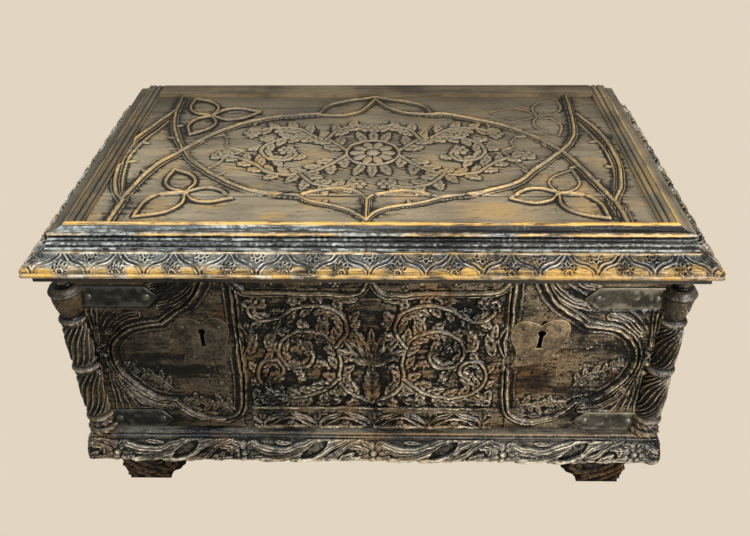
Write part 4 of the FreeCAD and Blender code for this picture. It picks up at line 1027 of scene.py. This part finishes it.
def cyma_run(name, along, facing, start, seed, node):
    inset, level = section_grid(cyma_section, along)
    climbed = np.cumsum(np.hypot(*np.diff(cyma_section, axis=0, prepend=cyma_section[:1]).T))
    climbed = np.broadcast_to((climbed - climbed[carving_foot])[:, None], along.shape)
    face = (climbed > -0.1) & (inset < 33)
    corner_gap = to_corner(cyma_section, along, facing)
    corner = smooth_step((corner_gap - 4) / 8)
    spine = roll(corner_gap, 7, 2.4) + 0.8 * np.cos(inset * 0.55) * np.exp(-(corner_gap / 14) ** 2)
    run, climb = wandering(along, climbed, 1.0, 10, seed + 3)
    lift = (ogee_net(run, climb, start) * corner + spine * (1 - corner)) * face
    lift = lift * np.interp(climbed, [0, 2.5, 8, 14], [0, 0.6, 0.65, 1.0])
    raised = smooth_step(lift / 1.6)
    visible = (inset < 60) & ((level > 540.2) | (inset < 12.2))
    lift = lift - 0.5 * face + 0.3 * unevenness(along, inset + level, 6, seed) * visible
    # Painted shade: the gilt thins towards the underside of the nose.
    nose_gilt_and_shade = np.interp(level, [526, 529, 532, 544], [0.3, 0.5, 0.85, 0.85]) * (inset < 12.2)
    low_edge = np.where(level < 544, nose_gilt_and_shade, np.exp(-((inset - 3) / 6.0) ** 2)) * (1 - 0.75 * raised)
    rubbed = smooth_step((unevenness(along, inset * 3, 30, seed + 1) + 0.6) * 1.3)
    gold = low_edge * (0.5 + rubbed) * 1.3 + 0.12 * rubbed * (inset < 34)
    gold = gold + 0.8 * (inset > 33.8) * (inset < 37)
    painted_light = 0.0
    if facing == 0:
        gold = gold * np.interp(along, [-590, -250, 100, 590], [0.55, 0.65, 1.1, 1.3])
        gold = gold + 0.42 * (inset < 34) * smooth_step((along - 20) / 200) * rubbed
        # Painted reflection: a pale blue-grey sheen in patches over the left part of the front run's face,
        # strongest in its middle band.
        painted_light = np.interp(along, [-590, -480, -100, 120], [0.5, 1, 0.8, 0])
    patches = smooth_step(unevenness(along, inset * 2, 18, seed + 2) + 0.6)
    painted_light = painted_light * np.exp(-((inset - 12) / 8) ** 2) * patches
    places = run_places(cyma_section, along, lift, facing)
    mesh = moulding_mesh(name, places, facing or 1, 3, np.clip(gold, 0, 1), sheen_and_wear_shift=1.4 * painted_light)
    add_piece(name, mesh, edge_oak, "lid", node)


cyma_run("carved_edge_front", front_run(cyma_section, 1060), facing=0, start=bay / 2, seed=61,
         node="lid_carved_edge_front")
for side, hand in hands:
    cyma_run("carved_edge_" + hand, side_run(cyma_section, 560), facing=side, start=-271.0, seed=64 + side,
             node="lid_carved_edge_" + hand)


# Reeded edge of the lid
# Three reeds, a stout bead and a hollow climb to a thin lip round the field, scraped with a profiled iron.
# They are waxed nearly black, and rubbed through to ochre on the bead and on the lip.

# The front reeds' blue-grey crest colour also serves as the painted sheen and glints.
reed_oak = aged_oak("reed_oak", deep=(0.004, 0.004, 0.004), bare=(0.040, 0.037, 0.031),
                    wear_and_sheen=(0.50, 0.52, 0.48), gloss=0.15, grain=(4, 90, 90), wear=(0.2, 0.95),
                    gilt=(0.74, 0.40, 0.07), blotch=10.0, dirt_and_shade=0.35)
# Painted shade darkens the reeded edge at the left end.
reed_side_oak = aged_oak("reed_side_oak", deep=(0.050, 0.041, 0.028), bare=(0.230, 0.180, 0.115),
                         wear_and_sheen=(0.44, 0.31, 0.15), gloss=0.3, grain=(90, 4, 90), wear=(1.0, 4.0),
                         gilt=(0.42, 0.27, 0.09), blotch=10.0, shade_ramp=(0, 0.2, -0.5, 0.45))
reed_section = np.vstack([
    [(71.8, 560.8), (38.5, 560.8)],
    arc_between((38.2, 561.0), (40.4, 566.4), 1.8, 9), arc_between((41.0, 567.0), (44.0, 575.0), 2.4, 11),
    arc_between((44.6, 575.6), (47.2, 582.0), 2.0, 10),
    arc_between((46.6, 583.4), (49.0, 590.6), 3.4, 10),
    arc_between((50.4, 591), (66.6, 596.6), -2.8, 16),
    [(67.4, 597.5), (68.4, 598.0), (71.8, 598.0)],
])


def reeded_run(name, along, facing, material, seed, node):
    inset, level = section_grid(reed_section, along)
    visible = (level > 561) & (inset < 71)
    lift = 0.3 * unevenness(along, inset * 2 + level, 16, seed) * visible
    lift = lift + 0.25 * unevenness(along, inset * 4, 5, seed + 1) * visible
    rubbed = smooth_step((unevenness(along, level * 2, 45, seed + 2) + 0.75) * 1.2)
    bead = np.exp(-((level - 588.4) / 1.5) ** 2) * (inset < 52)
    lip = smooth_step((inset - 65.0) / 1.2)
    gold = (1.2 * bead * rubbed + 1.3 * lip * (0.5 + 0.5 * rubbed)) * (level > 560.9)
    cove = (inset > 49.5) & (inset < 66)
    reeds = (inset < 48) & (level < 582)
    sheen_streaks = unevenness(along * 0.25, inset * 4 + level, 14, seed + 3)
    # Painted light on the front run: a blue-grey sheen in the cove, fading from the left end to painted shade
    # at the right; painted glints on the reeds at the left and on the middle reed 230 to 320 mm right of
    # centre; painted shade on the other reeds to the right.
    painted_light, painted_glint_and_shade = 0.0, 0.0
    if facing == 0:
        painted_light = np.interp(along, [-590, -520, -80, 90, 300], [0.6, 1, 0.9, 0.1, -0.5])
        painted_glint_and_shade = np.interp(along, [-590, -100, 60, 180, 230, 320, 380, 590],
                          [0.24, 0.22, -0.1, -0.1, 0.12, 0.12, -0.2, -0.25])
        painted_glint_and_shade = painted_glint_and_shade - 0.22 * ((level < 567) | (level > 575)) * (along > 40)
    sheen_and_wear_shift = (0.50 * painted_light * cove + painted_glint_and_shade * reeds) * (1 + 1.3 * sheen_streaks)
    places = run_places(reed_section, along, lift, facing)
    mesh = moulding_mesh(name, places, facing or 1, 2, np.clip(gold, 0, 1), np.where(cove, 0.0, 1.0), sheen_and_wear_shift)
    add_piece(name, mesh, material, "lid", node)


reeded_run("reeded_edge_front", front_run(reed_section, 420), 0, reed_oak, seed=71,
           node="lid_reeded_edge_front")
for side, hand in hands:
    reeded_run("reeded_edge_" + hand, side_run(reed_section, 260), side, reed_side_oak, seed=75 + side,
               node="lid_reeded_edge_" + hand)


# Lid boards
# Two oak planks carved with pointed tracery: crossing arcs, trefoils in the corners, and a pointed oval
# in the middle, here filled with a rosette and leafy scrolls. The planks meet in an open joint.

# Painted shade darkens the lid field towards the back.
field_oak = aged_oak("field_oak", deep=(0.145, 0.112, 0.072), bare=(0.330, 0.258, 0.164),
                     wear_and_sheen=(0.76, 0.45, 0.13), gloss=0.3, grain=(5, 60, 60), wear=(0.8, 2.3),
                     gilt=(0.44, 0.26, 0.08), blotch=7.0, dirt_and_shade=0.55, shade_ramp=(1, -0.05, 0.34, 0.62),
                     tones=(0.62, 1.36), wax=0.32)
# Lines of the lid are places as (across, distance from the front edge).
tracery_left = (
    ((-437, 650), (-437, 633), (-428, 492), (-389, 373), (-337, 286), (-234, 193), (-132, 168)),
    ((-447, 152), (-422, 270), (-382, 341), (-319, 433), (-232, 497), (-120, 518)),
    ((-434, 539), (-473, 438), (-496, 355), (-484, 250), (-469, 192), (-447, 152)),
    ((-444, 152), (-447, 100), (-448, 70)),
)
tracery_right = (
    ((429, 650), (429, 631), (416, 452), (384, 364), (308, 267), (268, 217), (198, 180), (125, 163)),
    ((125, 517), (163, 515), (285, 452), (367, 351), (405, 244), (430, 152)),
    ((434, 517), (465, 419), (472, 304), (456, 210), (432, 152)),
    ((432, 152), (436, 110), (438, 70)),
)
tracery_middle = (
    ((-121, 518), (-103, 562), (-68, 586), (-33, 599), (1, 611)),
    ((1, 611), (32, 599), (62, 588), (106, 562), (125, 517)),
    ((-121, 516), (-99, 512), (-64, 514), (-35, 530), (-16, 560), (1, 598)),
    ((1, 598), (21, 567), (42, 544), (76, 524), (125, 517)),
    ((-132, 168), (-104, 148), (-62, 132), (-33, 115), (-7, 86)),
    ((-7, 86), (9, 113), (41, 130), (86, 143), (125, 163)),
    ((-132, 170), (-98, 187), (-61, 194), (-27, 185), (-8, 156)),
    ((-8, 156), (8, 173), (49, 185), (83, 183), (125, 163)),
    ((-8, 156), (-7, 120), (-7, 90)),
)
loop_ribs = (
    ((367, 351), (337, 386), (313, 411), (291, 413)), ((291, 413), (278, 388), (279, 366), (255, 349)),
    ((255, 349), (271, 317), (284, 286)), ((284, 286), (302, 266), (330, 290)),
    ((-382, 356), (-350, 392), (-324, 412), (-309, 420)),
    ((-309, 420), (-297, 392), (-293, 366), (-257, 347)),
    ((-257, 347), (-288, 318), (-311, 276), (-330, 285)),
    ((-438, 485), (-462, 413), (-478, 340), (-474, 273), (-462, 210), (-450, 170)),
    ((-390, 335), (-413, 290), (-432, 227), (-440, 178)),
    ((430, 479), (445, 419), (458, 361), (459, 303), (455, 250), (440, 190)),
)
thorns = (
    ((-470, 385), (-452, 380)), ((-477, 300), (-458, 304)), ((-424, 256), (-440, 268)),
    ((-402, 404), (-422, 410)), ((-345, 400), (-352, 382)), ((-250, 486), (-254, 466)),
    ((-290, 246), (-278, 262)), ((-418, 460), (-402, 466)),
    ((452, 392), (434, 386)), ((459, 282), (441, 284)), ((392, 284), (374, 276)), ((404, 420), (422, 426)),
    ((340, 384), (346, 366)), ((238, 478), (242, 458)), ((296, 256), (284, 272)), ((408, 222), (424, 230)),
    ((-62, 514), (-64, 530)), ((64, 526), (68, 542)), ((-84, 142), (-78, 158)), ((72, 140), (66, 156)),
)
# Each trefoil: its middle, its three tips, and how much is left of each lobe
trefoils = (
    ((-338, 182), ((-378, 271), (-411, 94), (-249, 160)), (1.0, 1.0, 1.0)),
    ((338, 182), ((378, 271), (411, 94), (249, 160)), (0.35, 1.0, 1.0)),
    ((-351, 513), ((-404, 604), (-249, 533), (-380, 419)), (1.0, 1.0, 1.0)),
    ((351, 513), ((404, 604), (249, 533), (380, 419)), (0.3, 0.3, 0.3)),
)
lid_centre, plank_joint = (0, 340), 172
# The scrolls in the oval, right half
lid_scrolls = (
    ((54, 352), (92, 396), (146, 412), (198, 394), (222, 352), (204, 314), (168, 308), (152, 334),
     (172, 352)),
    ((118, 408), (158, 448), (212, 452), (250, 428)),
    ((54, 326), (92, 278), (142, 250), (196, 258), (226, 290), (262, 316), (300, 330)),
    ((136, 252), (108, 216), (66, 200), (28, 214)),
    ((96, 398), (76, 440), (38, 464), (12, 452)),
)


# A rib is a round between two hollows and two thin fillets, with a quirk and a scratched line outside them.
def tracery(x, s, paths, width, height):
    rib, quirk = np.zeros(x.shape), np.zeros(x.shape)
    for points in paths:
        reach = distance(x, s, flowing(*points, steps=7)) * 15 / width
        rib = np.maximum(rib, np.interp(reach, [0, 1.2, 2.5, 3.7, 5.0, 6.0, 6.9, 7.8],
                                        [1.0, 0.92, 0.5, 0.16, 0.08, 0.12, 0.36, 0]))
        quirk = np.minimum(quirk, -0.17 * np.exp(-((reach - 8.6) / 1.4) ** 2))
        quirk = quirk + 0.16 * np.exp(-((reach - 11.4) / 0.9) ** 2) * (unevenness(x, s, 30, 86) > -0.25)
    return height * np.where(rib > 0.02, rib, quirk)


def trefoil(x, s, centre, tips, strengths):
    lift = np.zeros(x.shape)
    for tip, strength in zip(tips, strengths):
        du, dv = tip[0] - centre[0], tip[1] - centre[1]
        sides = [flowing(centre, *((centre[0] + du * part - dv * swell * wide,
                                    centre[1] + dv * part + du * swell * wide)
                                   for part, wide in ((0.28, 0.8), (0.62, 0.82))), tip, steps=7)
                 for swell in (-0.31, 0.31)]
        ring = np.vstack([sides[0], sides[1][-2:0:-1]])
        edge = signed_distance(x, s, ring)
        section = np.interp(edge, [-12, -9.4, -8.4, -7.4, -5.4, -3.4, -1.2, 0, 1.6, 2.6, 4.4, 6.4],
                            [-1.4, -1.2, 0.4, -1.4, -1.6, 0.6, 4.0, 5.4, 3.0, -1.5, -1.4, 0])
        lift = np.where(np.abs(lift) > np.abs(section), lift, section * strength)
    eye = roll(np.hypot(x - centre[0], s - centre[1]), 15, 4.6) * max(strengths[1:])
    return np.maximum(lift, eye)


def inside_oval(x, s):
    return (np.abs(x) / 400) ** 1.5 + (np.abs(s - 345) / 178) ** 1.7 < 1


def field_lift(across, depth):
    x, s = wandering(across, depth, 0.9, 22, 91)
    lift = 0.55 * unevenness(x, s, 60, 81) + 0.3 * unevenness(x * 0.3, s, 9, 82)
    lift = lift + 0.14 * unevenness(x * 0.5, s, 3, 87)
    hatch = 0.22 * np.cos((s + 0.35 * x) * 2 * math.pi / 11) * inside_oval(x, s) * (np.abs(s - 300) < 120)
    ground = lift + hatch * (unevenness(x, s, 80, 83) > -0.2)
    carving = scroll_work(np.abs(x), s, lid_scrolls, 9, 38, 4.6, 18)
    carving = np.maximum(carving, rosette(x, s, lid_centre, 46, 10, 5.2))
    carving = np.maximum(carving, roll(np.abs(np.hypot(x, s - lid_centre[1]) - 52), 6, 4.4))
    for turn in (70, 90, 110, 250, 270, 290):
        root, tip = spoke(lid_centre, 54, turn), spoke(lid_centre, 98, turn)
        carving = np.maximum(carving, leaf(x, s, root, tip, 22, 4.6, 3))
    carving = carving + 0.5 * unevenness(x, s, 5, 88) * (carving > 1.0)
    ribs = tracery(x, s, tracery_left + tracery_right, 15, 6.9)
    inner = tracery(x, s, tracery_middle, 10.5, 5.6)
    ribs = np.where(np.abs(inner) > np.abs(ribs), inner, ribs)
    loops = tracery(x, s, loop_ribs, 6.5, 3.4)
    ribs = np.where(np.abs(ribs) > 0.4, ribs, loops)
    for root, tip in thorns:
        ribs = np.maximum(ribs, leaf(x, s, root, tip, 7, 3.2))
    for centre, tips, strengths in trefoils:
        ribs = np.where(np.abs(ribs) > 0.4, ribs, trefoil(x, s, centre, tips, strengths))
    return ground + np.where(np.abs(ribs) > 0.3, ribs, carving)


# The gold brown that rubbing leaves: most along the front, and the ghost of the trefoil lost at the back
def field_gold(x, s):
    gold = smooth_step((unevenness(x, s * 1.6, 55, 84) - 0.15) * 2)
    gold = gold * np.interp(s, [70, 180, 620], [0.8, 0.5, 0.3])
    ghost = np.abs(trefoil(x, s, *trefoils[3][:2], (1.0, 1.0, 1.0)))
    ghost = 0.5 * smooth_step(ghost / 2) * (unevenness(x, s, 6, 89) > -0.2) * (x > 200) * (s > 400)
    return np.clip(gold + ghost, 0, 1)


def lid_plank(name, left, right, low, high, columns, rows, node):
    x, s = np.meshgrid(np.linspace(left, right, columns), np.linspace(low, high, rows))
    lift = field_lift(x, s)
    seam = np.minimum(np.abs(s - low), np.abs(s - high))
    seam = np.exp(-(seam / 1.9) ** 2) * (np.abs(s - plank_joint) < 8)
    lift = lift - 1.7 * seam
    hidden = (np.abs(x) > 489) | (s > 617)
    lift = np.where(hidden, 0, np.clip(lift, -1.6, 6.9))
    places = np.stack([x, front_edge + s, 591 + lift], axis=2) / 1000
    bm = carved_grid(places, 1, 4, field_gold(x, s) * (1 - seam), np.where(inside_oval(x, s), 0.6, 1.0),
                     -1.4 * seam)
    flat_back(bm, 2, 560.5)
    add_piece(name, closed_mesh(name, bm), field_oak, "lid", node)


lid_plank("lid_plank_front", -518, 518, 72, plank_joint - 0.2, columns=610, rows=60, node="lid_board_front")
for name, left, right, columns in (("lid_plank_left", -518, -170, 206), ("lid_plank_centre", -170, 170, 202),
                                   ("lid_plank_right", 170, 518, 206)):
    lid_plank(name, left, right, plank_joint, 670, columns, rows=296, node="lid_board_main")


# Lid borders
# Raised strips round the field, glued on: those at the ends have a doubled line, and the back one is plain.

# Painted shade darkens the left end strip.
border_oak = aged_oak("border_oak", deep=(0.075, 0.060, 0.039), bare=(0.200, 0.158, 0.100),
                      wear_and_sheen=(0.42, 0.27, 0.10), gloss=0.34, grain=(60, 5, 60), wear=(1.3, 4.2),
                      gilt=(0.30, 0.19, 0.07), dirt_and_shade=1.2, shade_ramp=(0, 0.2, -0.5, 0.4))
back_border_oak = aged_oak("back_border_oak", deep=(0.045, 0.032, 0.018), bare=(0.175, 0.125, 0.068),
                           wear_and_sheen=(0.42, 0.28, 0.12), gloss=0.4, wear=(0.3, 1.2), wax=0.3)
border_outer, nicks = 518, {"left": (156,), "right": (284, 603)}
border_section = np.vstack([
    [(0, 591)], arc_between((0.2, 596), (1.5, 597.6), -0.3, 4), [(4, 598), (8.5, 598), (9.8, 597.4)],
    [(10.6, 595.6), (12.6, 595.4), (13.4, 597.2), (14.6, 598), (20, 598), (21.2, 597.4), (22, 595.6)],
    [(23.6, 595.4), (24.6, 596.8)],
    arc_between((25.6, 597.2), (28, 594.4), -0.4, 5), [(28, 591)],
])
for side, hand in hands:
    name = "lid_strip_" + hand
    along = np.broadcast_to(np.linspace(-269.65, back_face, 250)[None, :], (len(border_section), 250))
    across = border_outer - border_section[:, 0][:, None]
    level = border_section[:, 1][:, None]
    wobble = 0.35 * unevenness(along, across + 0 * along, 14, 91 + side) * (level > 594)
    cut = sum(1.6 * np.exp(-((along - front_edge - spot) / 1.5) ** 2) for spot in nicks[hand]) * (level > 594)
    places = np.broadcast_arrays(side * (across + 0 * along), along, level + wobble - cut)
    places = np.stack(places, axis=2) / 1000
    gold = smooth_step((unevenness(along, across + 0 * along, 50, 95 + side) + 0.2) * 1.5) * 0.6
    add_piece(name, moulding_mesh(name, places, side, 2, gold), border_oak, "lid",
              "lid_border_" + hand)
finish_nodes(back_border_oak, "lid_border_back")


# Studio
# A plain pale floor and wall in the photograph's beige, soft light from above and from the left.

beige = (0.7605, 0.6654, 0.5395)


def shown_as(tree, output, lit, plain):
    seen = joined(tree, "LightPath", {}, "Is Camera Ray")
    mix = joined(tree, "MixShader", {0: seen, 1: lit, 2: plain})
    filled(tree, tree.nodes[output], {"Surface": mix})


def backdrop(name):
    material, tree, shader = shader_tree(name)
    filled(tree, shader, {"Base Color": (0.20, 0.18, 0.15, 1), "Roughness": 0.9, "Specular IOR Level": 0.0})
    plain = joined(tree, "Emission", {"Color": (*beige, 1)})
    shown_as(tree, "Material Output", shader.outputs[0], plain)
    return material


bm = bmesh.new()
bmesh.ops.create_grid(bm, x_segments=1, y_segments=1, size=14)
floor = bpy.data.objects.new("floor", closed_mesh("floor", bm))
floor.data.materials.append(backdrop("pale_floor"))
bpy.context.scene.collection.objects.link(floor)

world = bpy.data.worlds.new("soft_room")
bpy.context.scene.world = world
world.use_nodes = True
sky = world.node_tree.nodes["Background"]
filled(world.node_tree, sky, {"Color": (0.93, 0.96, 1.0, 1), "Strength": 0.3})
wall = joined(world.node_tree, "Background", {"Color": (*beige, 1)})
shown_as(world.node_tree, "World Output", sky.outputs[0], wall)


def soft_light(name, place, target, width, height, power, colour):
    lamp = bpy.data.lights.new(name, "AREA")
    lamp.shape = "RECTANGLE"
    lamp.size, lamp.size_y = width, height
    lamp.energy = power
    lamp.color = colour
    thing = bpy.data.objects.new(name, lamp)
    thing.location = place
    thing.rotation_euler = (Vector(target) - Vector(place)).to_track_quat("-Z", "Y").to_euler()
    bpy.context.scene.collection.objects.link(thing)


soft_light("window_left", (-0.8, -0.6, 2.05), (-0.15, -0.15, 0.5), width=0.85, height=0.9, power=27,
           colour=(0.82, 0.93, 1.0))
soft_light("ceiling", (0.75, -0.5, 2.4), (0, 0, 0.5), width=0.45, height=0.4, power=9,
           colour=(1.0, 0.93, 0.82))
soft_light("front_right", (1.7, -1.9, 1.25), (0.1, -0.2, 0.3), width=0.6, height=0.5, power=80,
           colour=(1.0, 0.97, 0.93))

# The camera stands where the photograph was taken; its focal length comes from pixels.
focal_pixels, picture_width, sensor_width = 792.7, 750, 36.0
camera = bpy.data.cameras.new("camera")
camera.sensor_width = sensor_width
camera.lens = focal_pixels / picture_width * sensor_width
viewer = bpy.data.objects.new("camera", camera)
bpy.context.scene.collection.objects.link(viewer)
yaw, pitch, tilt = math.radians(-1.3281), math.radians(35.161), math.radians(-0.572)
forward = Vector((math.sin(yaw) * math.cos(pitch), math.cos(yaw) * math.cos(pitch), -math.sin(pitch)))
level_right = Vector((math.cos(yaw), -math.sin(yaw), 0))
level_up = level_right.cross(forward)
right = math.cos(tilt) * level_right + math.sin(tilt) * level_up
up = -math.sin(tilt) * level_right + math.cos(tilt) * level_up
viewer.matrix_world = Matrix((
    (right.x, up.x, -forward.x, 0.0347), (right.y, up.y, -forward.y, -1.4126),
    (right.z, up.z, -forward.z, 1.3076), (0, 0, 0, 1),
))
bpy.context.scene.camera = viewer
bpy.context.scene.view_settings.view_transform = "Standard"

bpy.context.view_layer.update()
